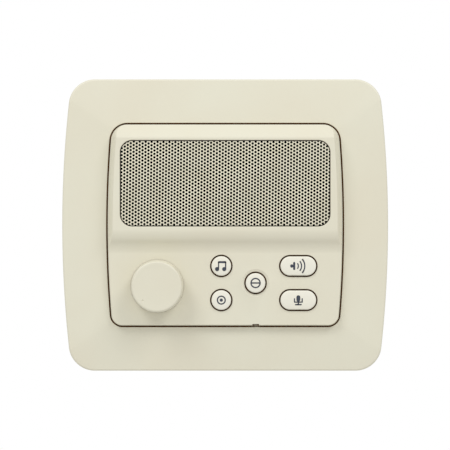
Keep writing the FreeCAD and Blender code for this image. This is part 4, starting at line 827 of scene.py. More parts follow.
# ABS moulded in a spark-eroded tool: an even, soft sheen that years of light have yellowed a little.
ivory_abs = MouldedPlastic("ivory_moulded_abs", "ivory_abs", IVORY, aged=IVORY_AGED)
# The same ABS on the knob, with its painted joint shade almost off, so that no dark line shows at its
# foot.
knob_abs = MouldedPlastic(
    "handled_ivory_abs", "ivory_abs", IVORY, aged=IVORY_AGED, roughness=0.4, shade_levels=(0.02, 0.1),
)
# ABS moulded in a polished tool and rubbed by fingers: lighter and glossier than the face, with a painted
# shade, a dark brown line, low on its flanks, where it runs in its hole.
key_abs = MouldedPlastic(
    "polished_key_abs", "key_abs", "#efede1", aged="#ece9da", roughness=0.36,
    shade_colour="#6e420c", shade_levels=(0.52, 0.94),
)
# Grey ABS moulded in a coarser tool, for what the wall hides: flat and a little uneven in tone.
grey_abs = MouldedPlastic("grey_moulded_abs", "grey_abs", "#8d8f8c", aged="#85877f", roughness=0.5)
# Epoxy moulded round chips and switches: near black, with a dull, fine grain.
component_black = MouldedPlastic(
    "black_moulded_epoxy", "component_black", "#1d1d1f", aged="#262628", roughness=0.5,
)
# Nylon moulded into terminal blocks: a waxy mid green.
terminal_green = MouldedPlastic(
    "green_moulded_nylon", "terminal_green", "#2f7d4f", aged="#2b7248", roughness=0.4,
)
# PVC extruded over wire: a soft red shine along the lead.
lead_pvc = MouldedPlastic("extruded_red_pvc", "lead_pvc", "#8c2f26", aged="#822a22", roughness=0.45)
# Enamel sprayed on steel and baked: harder and shinier than the plastic round it, faintly rippled.
ivory_enamel = PaintedSheet(
    "ivory_enamelled_steel", "ivory_painted_steel", "#e3dfca", worn="#dcd7c0",
)
# Ink pressed on by a soft pad: blue-black, flat and a little uneven in cover.
marking_ink = Matt(
    "pad_printed_ink", "key_abs", "#2f3643", second="#3a414e", roughness=0.6, grain_height_mm=0.004,
)
# Dyed cotton in a plain weave: it swallows the light, so that the holes before it look deep.
black_cloth = WovenCloth("black_woven_cloth", "grille_cloth", "#060606", thread="#131211")
# Rolled steel sheet, pressed to shape and zinc plated: pale grey, with soft streaks that run the
# way the sheet was rolled.
zinc_plate = Metal(
    "pressed_zinc_plated_steel", "zinc_plated_steel", "#c9cbc8", dull="#b4b7b4",
    roughness=0.36, cloud_mm=1.6, stretch=14.0,
)
# Turned screws, zinc plated: brighter and sharper in their shine than the sheet.
screw_steel = Metal(
    "zinc_plated_screw_steel", "screw_steel", "#c2c2bf", dull="#9b9b97", roughness=0.28,
)
# Steel pressed for a speaker's frame and left to dull: a darker, broader shine.
basket_steel = Metal(
    "pressed_basket_steel", "basket_steel", "#9c9ea0", dull="#7f8183", roughness=0.4, cloud_mm=7.0,
)
# Copper wire wound and varnished: a warm, broken shine.
coil_brass = Metal("wound_copper_wire", "coil_brass", "#b87a4a", dull="#9d6539", roughness=0.35)
# Stamped brass: yellow, and browner where it has been handled.
tag_brass = Metal("stamped_brass", "tag_brass", "#d2b56a", dull="#b0924c", roughness=0.32)
# Turned aluminium: the palest metal here, with fine tight streaks of dullness.
shaft_aluminium = Metal(
    "turned_aluminium", "shaft_aluminium", "#cfd1d2", dull="#b9bbbc", roughness=0.3, cloud_mm=2.0,
)
# Aluminium drawn into cans: blue-grey, with a satin shine.
can_aluminium = Metal(
    "drawn_aluminium", "capacitor_aluminium", "#b8bbbf", dull="#9ea2a7", roughness=0.38,
)
# Ferrite fired and ground: charcoal, with a dense fine grain.
ferrite = Matt("ground_ferrite", "ferrite", "#2c2c2e", second="#3a3a3c", roughness=0.7)
# Moulded rubber: soft black with a grey bloom.
rubber = Matt(
    "moulded_rubber", "grommet_rubber", "#1c1c1c", second="#2a2a29",
    roughness=0.75, grain_height_mm=0.01,
)
# Thin rubber rolled for a cone's edge: slightly shinier than the moulded rubber.
surround_rubber = Matt(
    "rolled_surround_rubber", "surround_rubber", "#242322", second="#2f2e2c", roughness=0.6,
)
# Paper pulp pressed on a felted tool: dark, dry and flecked with fibre.
cone_paper = Matt(
    "pressed_paper_pulp", "cone_paper", "#4b4640", second="#5a544c", roughness=0.95, cloud_mm=1.4,
)
# Cloth soaked in resin and pressed: an amber tone that breaks up at the threads.
spider_cloth = Matt(
    "resin_soaked_cloth", "spider_cloth", "#a5843f", second="#b9964d", roughness=0.95, cloud_mm=0.9,
)
# Closed-cell foam: dead flat grey with small pits.
gasket_foam = Matt(
    "closed_cell_foam", "gasket_foam", "#3b3b3a", second="#4a4a48", roughness=1.0,
    grain_height_mm=0.08,
)
# Glass laminate under green lacquer: a thin gloss over copper tracks that show a lighter green.
board_laminate = Laminate(
    "lacquered_glass_laminate", "board_laminate", "#2c5a34", track="#4b7a45",
)

FINISHES = {
    finish.slot: finish
    for finish in (
        ivory_abs, key_abs, grey_abs, component_black, terminal_green, ivory_enamel, black_cloth,
        zinc_plate, screw_steel, basket_steel, coil_brass, tag_brass, shaft_aluminium,
        can_aluminium, ferrite, rubber, surround_rubber, cone_paper, spider_cloth, gasket_foam,
        lead_pvc, board_laminate,
    )
}


def dress(piece: Piece, finish: Finish) -> None:
    """Give a whole piece one finish."""
    piece.data.materials.clear()
    piece.data.materials.append(finish.material())


def install(piece: Piece, finish: Finish, body: str, *nodes: str) -> Piece:
    """Dress a finished piece, put it on its body and let it stand for its CAD nodes.

    Args:
        piece: the finished piece.
        finish: what it is made of.
        body: the body that it rides on.
        nodes: the CAD nodes that it replaces.

    Returns:
        The same piece.
    """
    dress(piece, finish)
    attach(piece, body)
    if nodes:
        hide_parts(*nodes)
    return piece


# ---------------------------------------------------------------- outlines

@dataclass(frozen=True)
class Panel:
    """A panel's outline: straight ends, bowed sides and round corners."""

    width: float
    height: float
    top_corner: float
    bottom_corner: float
    bow: float = 700.0
    corner_steps: int = 12
    side_steps: int = 20

    def inset(self, amount: float) -> "Panel":
        """The same outline moved in all round, or out where the amount is negative.

        Args:
            amount: how far it moves in.

        Returns:
            The new outline.
        """
        return replace(
            self, width=self.width - 2 * amount, height=self.height - 2 * amount,
            top_corner=self.top_corner - amount, bottom_corner=self.bottom_corner - amount,
            bow=self.bow - amount,
        )

    def corner(self, radius: float) -> tuple[float, float, float]:
        """Where a corner lies.

        Args:
            radius: the corner's radius.

        Returns:
            The sharp corner's x, the height where its round meets the side, and how far the
            round reaches along the side and the end.
        """
        level = self.height / 2
        bow_centre = self.width / 2 - self.bow
        centre_z = level - radius
        reach = self.bow - radius
        centre_x = bow_centre + math.sqrt(reach ** 2 - centre_z ** 2)
        lean_x, lean_z = (centre_x - bow_centre) / reach, centre_z / reach
        meets_z = centre_z + radius * lean_z
        offset = (level - meets_z) / lean_x
        return centre_x + radius * lean_x - offset * lean_z, meets_z, offset

    def plate(self, name: str, depth: float) -> Piece:
        """The outline as a flat face.

        Args:
            name: the new piece's name.
            depth: the depth at which it lies.

        Returns:
            The new piece.
        """
        level = self.height / 2
        top_x, top_z, top_offset = self.corner(self.top_corner)
        low_x, low_z, low_offset = self.corner(self.bottom_corner)
        bow_centre = self.width / 2 - self.bow
        side = []
        for step in range(self.side_steps + 1):
            z = -low_z + (top_z + low_z) * step / self.side_steps
            side.append((bow_centre + math.sqrt(self.bow ** 2 - z ** 2), z))
        right = [(low_x, -level), *side, (top_x, level)]
        left = [(-x, z) for x, z in reversed(right)]
        piece = draw(name, [Vector((x, -depth, z)) for x, z in right + left])
        for sign, offset in ((1, top_offset), (-1, low_offset)):
            end = sign * level
            round_corners(
                piece, offset, self.corner_steps,
                lambda vertex, end=end, sign=sign: (vertex.co.z - end) * sign > -SAME_POINT
                and abs(vertex.co.x) > min(top_x, low_x) - SAME_POINT,
            )
        return piece

    def solid(self, name: str, back: float, front: float) -> Piece:
        """The outline as a solid between two depths."""
        return push(self.plate(name, back), front - back)


# A bow so wide that the side is straight.
STRAIGHT = 1e5
MODULE = Panel(width=146.8, height=125.7, top_corner=10.0, bottom_corner=6.7)
SHADOW_GAP = 1.0
LEDGE_FRONT = 5.3
SHELL_WALL = 2.2
CHASSIS_SPAN = (133.0, 80.0)


# ---------------------------------------------------------------- trim frame

@dataclass
class TrimFrame:
    """The wide moulded frame round the module."""

    panel: Panel = Panel(width=204.5, height=182.9, top_corner=16.0, bottom_corner=16.0)
    inner_depth: float = 8.0
    side_slope: float = 0.05
    end_slope: float = 0.08
    edge_round: float = 1.2
    inner_round: float = 0.5
    wall: float = 1.8
    ledge_hole: Panel = Panel(
        width=124.0, height=118.0, top_corner=5.0, bottom_corner=5.0, bow=STRAIGHT,
    )
    screw_hole: float = 3.4
    # Where the tools that cut the ledge start, behind its back.
    ledge_cut: float = 2.0
    # Faces past this share of the opening's half sizes are cut along the mitres.
    mitre_share: float = 0.8

    def face_depth(self, x: float, z: float) -> float:
        """How far the sloping face stands in front of the wall.

        Args:
            x: where, along X.
            z: where, along Z.

        Returns:
            The depth.
        """
        past_x = abs(x) - MODULE.width / 2 - SHADOW_GAP
        past_z = abs(z) - MODULE.height / 2 - SHADOW_GAP
        return self.inner_depth - max(self.side_slope * past_x, self.end_slope * past_z)

    def ring(self) -> Piece:
        """The face: two outlines bridged, creased at the mitres and laid on the slopes.

        Returns:
            The face as an open sheet.
        """
        opening = MODULE.inset(-SHADOW_GAP)
        piece = self.panel.plate("moulded_trim", 0.0)
        hole = opening.plate("trim_opening", 0.0)
        take(piece, hole)
        bpy.ops.object.join()
        with editing(piece):
            pick(piece, Pick.FACES, lambda face: True)
            bpy.ops.mesh.delete(type="ONLY_FACE")
            bpy.ops.mesh.select_mode(type="EDGE")
            bpy.ops.mesh.select_all(action="SELECT")
            bpy.ops.mesh.bridge_edge_loops()
            self.crease_mitres(piece)
        for vertex in piece.data.vertices:
            vertex.co.y = -self.face_depth(vertex.co.x, vertex.co.z)
        return piece

    def crease_mitres(self, piece: Piece) -> None:
        """Cut the four lines where a sloping side meets a sloping end.

        Args:
            piece: the flat ring, in edit mode.
        """
        corner_x = MODULE.width / 2 + SHADOW_GAP
        corner_z = MODULE.height / 2 + SHADOW_GAP
        for side in (-1, 1):
            for end in (-1, 1):
                pick(
                    piece, Pick.FACES,
                    lambda face: face.calc_center_median().x * side > corner_x * self.mitre_share
                    and face.calc_center_median().z * end > corner_z * self.mitre_share,
                )
                bpy.ops.mesh.bisect(
                    plane_co=(side * corner_x, 0.0, end * corner_z),
                    plane_no=(side * self.side_slope, 0.0, -end * self.end_slope),
                    threshold=SAME_POINT,
                )

    def on_face(self, point: Vector) -> bool:
        """Whether a point lies on the sloping face."""
        return abs(-point.y - self.face_depth(point.x, point.z)) < NEAR

    def build(self) -> Piece:
        """Shape the frame: face, walls, clamped ledge and rounded edges.

        Returns:
            The finished piece.
        """
        piece = self.ring()
        with editing(piece):
            pick(piece, Pick.EDGES, lambda edge: edge.is_boundary and self.is_outer(edge))
            bpy.ops.mesh.extrude_region_move(TRANSFORM_OT_translate=slide())
            bpy.ops.transform.resize(value=(1.0, 0.0, 1.0), center_override=(0.0, 0.0, 0.0))
            pick(piece, Pick.EDGES, lambda edge: edge.is_boundary and not self.is_outer(edge))
            bpy.ops.mesh.extrude_region_move(TRANSFORM_OT_translate=slide())
            bpy.ops.transform.resize(value=(1.0, 0.0, 1.0), center_override=(0.0, -LEDGE_FRONT, 0.0))
            bpy.ops.mesh.edge_face_add()
            merge(SAME_POINT)
            bpy.ops.mesh.normals_make_consistent(inside=False)
        face_forward(piece)
        change(piece, "SOLIDIFY", thickness=self.wall, offset=-1.0, use_even_offset=True)
        ledge_past = LEDGE_FRONT + OVERRUN
        combine(piece, Join.CUT, self.ledge_hole.solid("trim_window", self.ledge_cut, ledge_past))
        rims = ((self.edge_round, 5, True), (self.inner_round, 3, False))
        for width, steps, outer in rims:
            count = bevel_edges(
                piece, width, steps,
                lambda edge: self.is_rim(edge) and self.is_outer(edge) == outer,
            )
            log.info("trim rim, outer %s: %d edges", outer, count)
        span_x, span_z = CHASSIS_SPAN
        for side in (-1, 1):
            for end in (-1, 1):
                combine(piece, Join.CUT, round_bar(
                    "trim_screw_hole", self.screw_hole, self.ledge_cut, ledge_past,
                    side * span_x / 2, end * span_z / 2, sides=24,
                ))
        return complete(piece, smooth_angle=32.0)

    def is_outer(self, edge: bmesh.types.BMEdge) -> bool:
        """Whether an edge lies nearer to the frame's outside than to its opening.

        Args:
            edge: the edge.

        Returns:
            True if it does.
        """
        point = middle(edge)
        halfway_x = (self.panel.width + MODULE.width) / 4 + SHADOW_GAP / 2
        halfway_z = (self.panel.height + MODULE.height) / 4 + SHADOW_GAP / 2
        return abs(point.x) > halfway_x or abs(point.z) > halfway_z

    def is_rim(self, edge: bmesh.types.BMEdge) -> bool:
        """Whether an edge joins the sloping face to a wall."""
        return all(self.on_face(vertex.co) for vertex in edge.verts) and meets_wall(edge)


# ---------------------------------------------------------------- bezel

@dataclass
class FrontBezel:
    """The moulded face: speaker plateau, scoop and control plane on one skirt."""

    rim_depth: float = 11.0
    control_depth: float = 12.0
    plateau_depth: float = 17.0
    side_bevel: float = 3.3
    bevel_round: float = 0.8
    scoop: Corner = (-17.9, -2.9)
    top_bevel_depth: float = 10.5
    top_bevel_start: float = 7.9
    top_bevel_round: float = 2.5
    aperture: tuple[float, float, float] = (131.2, 53.8, 7.6)
    aperture_z: float = 26.0
    aperture_round: float = 0.5
    seat_overlap: float = 3.1
    cloth_back: float = 15.5
    seat_back: float = 14.0
    hole_round: float = 0.35
    bush_hole: float = 7.2
    dish_rim: float = 17.4
    dish_sink: float = 0.35
    port: tuple[float, float, float] = (19.1, 4.1, 1.0)
    steps: int = 12
    knee_round: float = 0.3
    speaker_post: tuple[float, float, float] = (5.6, 11.0, 18.0)
    speaker_places: tuple[Corner, ...] = ((-27.5, 53.0), (27.5, 53.0), (-27.5, -2.0), (27.5, -2.0))
    board_post: tuple[float, float, float] = (6.0, 1.8, 18.0)
    post_draft: float = 0.04
    board_places: tuple[Corner, ...] = ((-52.5, -12.0), (52.5, -12.0), (-24.5, -48.5), (24.5, -48.5))
    hooks: tuple[tuple[int, float], ...] = ((-1, 60.0), (1, 90.0))
    hook_level: float = 54.8
    hook_sheet: float = 1.5
    hook_width: float = 10.0
    hook_tip: float = 6.0
    hook_barb: Corner = (1.2, 3.0)
    sound_hole: Corner = (1.6, 7.1)
    # How far the leaning part rises past the plateau, for the profile to cut off.
    lean_past: float = 0.6
    # How far the profile bar runs past the module's ends.
    profile_past: float = 6.0
    # The share of the module's width that the profile bar reaches to each side.
    profile_share: float = 0.6
    smallest_round: float = 0.3
    # The depths at which a board post's foot ends and a key hole's tool starts.
    foot_front: float = 7.0
    hole_back: float = 5.0
    # How deep a hook is rooted below the face's front.
    hook_root: float = 1.0
    port_corner: float = 0.3
    # The depths between which the port's notch is cut, past the face.
    port_span: Corner = (0.0, 25.0)
    # How near to its line an edge is looked for, and the same at the dish's rim, across and deep.
    search: float = 0.3
    dish_search: Corner = (0.1, 0.05)
    # How far a facing may be off, and how much more the next face must look to the front.
    facing_slack: float = 0.02
    facing_step: float = 0.05
    # Above the knee, a face looks to the front by more than this.
    knee_facing: float = 0.4

    def lean(self) -> float:
        """How far the rim leans in for each millimetre that it rises."""
        return self.side_bevel / (self.plateau_depth - self.rim_depth)

    def leaning_form(self, inset: float) -> Piece:
        """A skirt whose upper part leans in to the plateau.

        Args:
            inset: how far it is moved in from the outer form.

        Returns:
            The solid.
        """
        lean = self.lean()
        back = LEDGE_FRONT - (OVERRUN if inset else 0.0)
        knee = self.rim_depth - inset * (math.sqrt(1 + lean ** 2) - 1) / lean
        above = self.plateau_depth + self.lean_past - knee
        piece = MODULE.inset(inset).solid("bezel_form", back, knee)
        with editing(piece):
            pick(piece, Pick.FACES, lambda face: face.normal.dot(FRONT) > LOOKS_FRONT)
            bpy.ops.mesh.inset(thickness=lean * above, depth=above, use_even_offset=True)
        return piece

    def profile_form(self, inset: float) -> Piece:
        """The face's side view as a long bar.

        Args:
            inset: how far it is lowered from the outer form.

        Returns:
            The solid.
        """
        low_z, high_z = self.scoop
        run, rise = high_z - low_z, self.plateau_depth - self.control_depth
        radius = (run ** 2 + rise ** 2) / (4 * rise)
        half_turn = math.asin(run / 2 / radius) / 2
        arc_reach = radius * math.tan(half_turn)
        shift = inset * math.tan(half_turn)
        top_z = MODULE.height / 2
        tilt = math.atan((self.plateau_depth - self.top_bevel_depth) / self.top_bevel_start)
        edge_z = top_z - self.top_bevel_start - inset * math.tan(tilt / 2)
        beyond, below = top_z + self.profile_past, LEDGE_FRONT - 2 * OVERRUN
        control, plateau = self.control_depth - inset, self.plateau_depth - inset
        corners = [
            (-beyond, below), (-beyond, control),
            (low_z + arc_reach + shift, control), (high_z - arc_reach + shift, plateau),
            (edge_z, plateau), (beyond, plateau - (beyond - edge_z) * math.tan(tilt)),
            (beyond, below),
        ]
        reach = MODULE.width * self.profile_share
        piece = draw("bezel_profile", [Vector((-reach, -depth, z)) for z, depth in corners])
        rounds = (
            (corners[2], (radius + inset) * math.tan(half_turn)),
            (corners[3], (radius - inset) * math.tan(half_turn)),
            (corners[4], max(self.smallest_round, self.top_bevel_round - inset) * math.tan(tilt / 2)),
        )
        for (z, depth), offset in rounds:
            round_corners(
                piece, offset, self.steps,
                lambda vertex, z=z, depth=depth: math.hypot(vertex.co.z - z, vertex.co.y + depth) < NEAR,
            )
        return push(piece, 2 * reach, across=True)

    def form(self, inset: float = 0.0) -> Piece:
        """The bezel's outer form, or its hollow where there is an inset."""
        return combine(self.leaning_form(inset), Join.KEEP, self.profile_form(inset))

    def build(self, keys: Iterable["Key"], knob: "VolumeKnob") -> Piece:
        """Shape the bezel: shell, grille seat, posts, hooks, holes and rounded edges.

        Args:
            keys: the keys that run in its holes.
            knob: the knob whose bush it holds.

        Returns:
            The finished piece.
        """
        width, height, corner = self.aperture
        piece = self.form()
        piece.name = "moulded_bezel"
        bevel_edges(piece, self.bevel_round, 4, self.is_ridge)
        bevel_edges(piece, self.knee_round, 2, self.is_knee)
        hollow = combine(self.form(SHELL_WALL), Join.CUT, rounded_bar(
            "bezel_seat", width + SHELL_WALL * 2, height + SHELL_WALL * 2, corner + SHELL_WALL,
            self.seat_back, self.plateau_depth + OVERRUN, z=self.aperture_z,
        ))
        posts = [(self.speaker_post, place) for place in self.speaker_places]
        posts += [(self.board_post, place) for place in self.board_places]
        for (diameter, back, front), (x, z) in posts:
            combine(hollow, Join.CUT, round_bar("post_core", diameter, back, front, x, z, sides=24))
        combine(piece, Join.CUT, hollow)
        diameter, back, _ = self.board_post
        for x, z in self.board_places:
            combine(piece, Join.ADD, round_bar(
                "post_foot", diameter - self.post_draft, back, self.foot_front, x, z, sides=24,
            ))
        for end, span in self.hooks:
            for side in (-1, 1):
                combine(piece, Join.ADD, self.hook(side * span / 2, end))
        overlap = self.seat_overlap
        combine(
            piece, Join.CUT,
            rounded_bar(
                "bezel_aperture", width, height, corner,
                self.cloth_back, self.plateau_depth + OVERRUN, z=self.aperture_z,
            ),
            rounded_bar(
                "bezel_window", width - overlap * 2, height - overlap * 2, corner - overlap,
                self.seat_back - OVERRUN, self.plateau_depth, z=self.aperture_z,
            ),
        )
        at_plateau = edge_at(self.plateau_depth)
        bevel_edges(
            piece, self.aperture_round, 3, lambda edge: at_plateau(edge) and meets_wall(edge),
        )
        dished = next(key for key in keys if key.dished)
        combine(piece, Join.CUT, self.dish(dished))
        hole_front = self.control_depth + OVERRUN
        for key in keys:
            combine(piece, Join.CUT, key.bar("key_hole", 0.0, self.hole_back, hole_front))
        combine(piece, Join.CUT, round_bar(
            "bush_hole", self.bush_hole, self.hole_back, hole_front, knob.x, knob.z,
        ))
        port_x, port_width, port_sink = self.port
        low = -MODULE.height / 2
        combine(piece, Join.CUT, rounded_bar(
            "port_notch", port_width, port_sink * 2, self.port_corner, *self.port_span,
            port_x, low, steps=3,
        ))
        bore, bore_depth = self.sound_hole
        clear_bench()
        bpy.ops.mesh.primitive_cylinder_add(
            vertices=24, radius=bore / 2, depth=(SHELL_WALL + OVERRUN) * 2,
            location=(port_x, -bore_depth, low + port_sink),
        )
        bpy.ops.object.transform_apply(location=True, rotation=True, scale=True)
        combine(piece, Join.CUT, label("sound_hole"))
        bevel_edges(
            piece, self.hole_round, 2, lambda edge: self.is_hole_edge(edge, keys), clamp=False,
        )
        complete(piece, smooth_angle=35.0)
        self.sharpen_dish(piece, dished)
        return piece

    def sharpen_dish(self, piece: Piece, key: "Key") -> None:
        """Keep the shading crisp where the dish meets the flat control plane.

        Args:
            piece: the finished bezel, in metres.
            key: the key that the dish lies round.
        """
        across, deep = self.dish_search

        def is_rim(edge: bmesh.types.BMEdge) -> bool:
            """Whether an edge lies on the dish's rim.

            Args:
                edge: the edge.

            Returns:
                True if it does.
            """
            point = middle(edge) / MM
            from_key = math.hypot(point.x - key.x, point.z - key.z)
            return (abs(from_key - self.dish_rim / 2) < across
                    and abs(point.y + self.control_depth) < deep)

        with editing(piece):
            pick(piece, Pick.EDGES, is_rim)
            bpy.ops.mesh.mark_sharp()

    def hook(self, x: float, end: int) -> Piece:
        """One snap hook behind the skirt.

        Args:
            x: the hook's middle along X.
            end: 1 for the upper end and -1 for the lower.

        Returns:
            The hook as a solid.
        """
        reach, rise = self.hook_barb
        front = (self.plateau_depth if end > 0 else self.control_depth) - self.hook_root
        inner = self.hook_level - self.hook_sheet
        corners = [
            (self.hook_level, front), (self.hook_level, rise - self.hook_tip),
            (self.hook_level + reach, rise - self.hook_tip), (self.hook_level, -self.hook_tip),
            (inner, -self.hook_tip), (inner, front),
        ]
        left = x - self.hook_width / 2
        piece = draw("snap_hook", [Vector((left, -depth, end * level)) for level, depth in corners])
        return push(piece, self.hook_width, across=True)

    def dish(self, key: "Key") -> Piece:
        """The ball that sinks a shallow dish round one key.

        Args:
            key: the key in the dish's middle.

        Returns:
            The ball, which is the cutting tool.
        """
        rim, hole = self.dish_rim / 2, key.height / 2
        lift = (rim ** 2 - hole ** 2 - self.dish_sink ** 2) / (2 * self.dish_sink)
        clear_bench()
        bpy.ops.mesh.primitive_uv_sphere_add(
            segments=96, ring_count=96, radius=math.hypot(rim, lift),
            location=(key.x, -(self.control_depth + lift), key.z), rotation=(math.pi / 2, 0.0, 0.0),
        )
        bpy.ops.object.transform_apply(location=True, rotation=True, scale=True)
        return label("key_dish")

    def is_ridge(self, edge: bmesh.types.BMEdge) -> bool:
        """Whether an edge joins the leaning rim to the face.

        Args:
            edge: the edge.

        Returns:
            True if it does.
        """
        facing = facings(edge)
        if len(facing) != 2 or -middle(edge).y < self.rim_depth + self.search:
            return False
        outward = self.lean() / math.sqrt(1 + self.lean() ** 2)
        return (abs(facing[0] - outward) < self.facing_slack
                and facing[1] > outward + self.facing_step)

    def is_knee(self, edge: bmesh.types.BMEdge) -> bool:
        """Whether an edge joins the upright skirt to what leans in above it.

        Args:
            edge: the edge.

        Returns:
            True if it does.
        """
        facing = facings(edge)
        if len(facing) != 2 or -middle(edge).y < self.top_bevel_depth - self.search:
            return False
        return abs(facing[0]) < self.facing_slack and facing[1] > self.knee_facing

    def is_hole_edge(self, edge: bmesh.types.BMEdge, keys: Iterable["Key"]) -> bool:
        """Whether an edge is the front edge of a key's hole.

        Args:
            edge: the edge.
            keys: the keys.

        Returns:
            True if it is.
        """
        point = middle(edge)
        near = any(key.covers(point.x, point.z, self.search) for key in keys)
        return near and -point.y > self.control_depth - 2 * self.search and meets_wall(edge)


# ---------------------------------------------------------------- speaker grille

@dataclass
class SpeakerGrille:
    """The perforated sheet over the speaker, and the cloth behind it."""

    width: float = 130.0
    height: float = 52.6
    corner: float = 7.0
    z: float = 26.0
    back: float = 15.9
    front: float = 16.7
    pitch: float = 2.14
    bore: float = 1.6
    punching_turn: float = 0.9
    punching_shift: Corner = (0.1, 0.5)
    hole_sides: int = 12
    # Rows and columns beyond the sheet, an odd number so that one hole stays in the middle.
    spare: int = 3
    cloth_size: tuple[float, float, float] = (131.0, 53.6, 7.5)
    cloth_back: float = 15.55
    cloth_front: float = 15.85

    def cell(self) -> Piece:
        """One six-sided cell of the sheet: a ring between its round hole and its outline.

        Returns:
            The flat ring.
        """
        clear_bench()
        bpy.ops.mesh.primitive_circle_add(
            vertices=self.hole_sides, radius=self.bore / 2, fill_type="NOTHING",
            rotation=(math.pi / 2, 0.0, 0.0),
        )
        bpy.ops.object.transform_apply(location=False, rotation=True, scale=False)
        piece = label("grille_cell")
        spread = self.pitch / self.bore
        with editing(piece):
            bpy.ops.mesh.select_all(action="SELECT")
            bpy.ops.mesh.extrude_region_move(TRANSFORM_OT_translate=slide())
            bpy.ops.transform.resize(value=(spread, 1.0, spread), center_override=(0.0, 0.0, 0.0))
        outline = (self.bore + self.pitch) / 4
        to_corner = 2 / math.sqrt(3)
        for vertex in piece.data.vertices:
            turn = round(math.degrees(math.atan2(vertex.co.z, vertex.co.x)))
            if vertex.co.length > outline and turn % 60 == 0:
                vertex.co *= to_corner
        return piece

    def tile(self, piece: Piece, count: int, x: float, z: float) -> None:
        """Repeat a piece at a fixed step and merge what touches.

        Args:
            piece: the piece, which grows.
            count: how many there are in the end.
            x: the step along X.
            z: the step along Z.
        """
        change(
            piece, "ARRAY", count=count, use_relative_offset=False, use_constant_offset=True,
            constant_offset_displace=(x, 0.0, z), use_merge_vertices=True, merge_threshold=NEAR,
        )

    def punched_sheet(self) -> Piece:
        """A field of holes larger than the sheet, in upright columns, turned a little.

        Returns:
            The open sheet.
        """
        step = self.pitch * math.sqrt(3) / 2
        rows = 2 * math.ceil(self.height / 2 / self.pitch) + self.spare
        pairs = 2 * math.ceil(self.width / 2 / step / 2) + self.spare
        piece = self.cell()
        self.tile(piece, rows, 0.0, self.pitch)
        self.tile(piece, 2, step, self.pitch / 2)
        self.tile(piece, pairs, step * 2, 0.0)
        shift_x, shift_z = self.punching_shift
        piece.location = (shift_x - (pairs - 1) * step, 0.0, shift_z - (rows // 2) * self.pitch)
        take(piece)
        bpy.ops.object.transform_apply(location=True, rotation=False, scale=False)
        piece.rotation_euler.y = math.radians(self.punching_turn)
        bpy.ops.object.transform_apply(location=False, rotation=True, scale=False)
        return piece

    def build(self) -> Piece:
        """Punch the sheet and cut it from its stock, through whatever holes lie on the line.

        Returns:
            The finished piece.
        """
        piece = self.punched_sheet()
        with editing(piece):
            self.trim()
        piece.location = (0.0, -self.front, self.z)
        take(piece)
        bpy.ops.object.transform_apply(location=True, rotation=False, scale=False)
        face_forward(piece)
        change(piece, "SOLIDIFY", thickness=self.front - self.back, offset=-1.0)
        piece.name = "perforated_grille"
        return complete(piece, smooth_angle=40.0)

    def trim(self, steps: int = 8, nudge: float = 1e-6) -> None:
        """Cut the sheet along each short run of its rounded outline.

        Args:
            steps: how many runs make a corner.
            nudge: puts a run that is square to an axis on that axis's positive side.
        """
        centre_x, centre_z = self.width / 2 - self.corner, self.height / 2 - self.corner
        for step in range(4 * steps):
            turn = math.tau * step / (4 * steps)
            away = Vector((math.cos(turn), 0.0, math.sin(turn)))
            corner = Vector((
                math.copysign(centre_x, away.x + nudge), 0.0, math.copysign(centre_z, away.z + nudge),
            ))
            bpy.ops.mesh.select_all(action="SELECT")
            bpy.ops.mesh.bisect(
                plane_co=corner + away * self.corner, plane_no=away, clear_outer=True,
                threshold=SAME_POINT / 10,
            )

    def cloth(self) -> Piece:
        """The black cloth stretched behind the sheet.

        Returns:
            The finished piece.
        """
        piece = rounded_plate("speaker_cloth", *self.cloth_size, self.cloth_front, z=self.z)
        face_forward(piece)
        change(piece, "SOLIDIFY", thickness=self.cloth_front - self.cloth_back, offset=-1.0)
        return complete(piece)

    def flat_size(self) -> tuple[float, float]:
        """The cloth's cut size in metres."""
        return self.cloth_size[0] * MM, self.cloth_size[1] * MM


# ---------------------------------------------------------------- volume knob

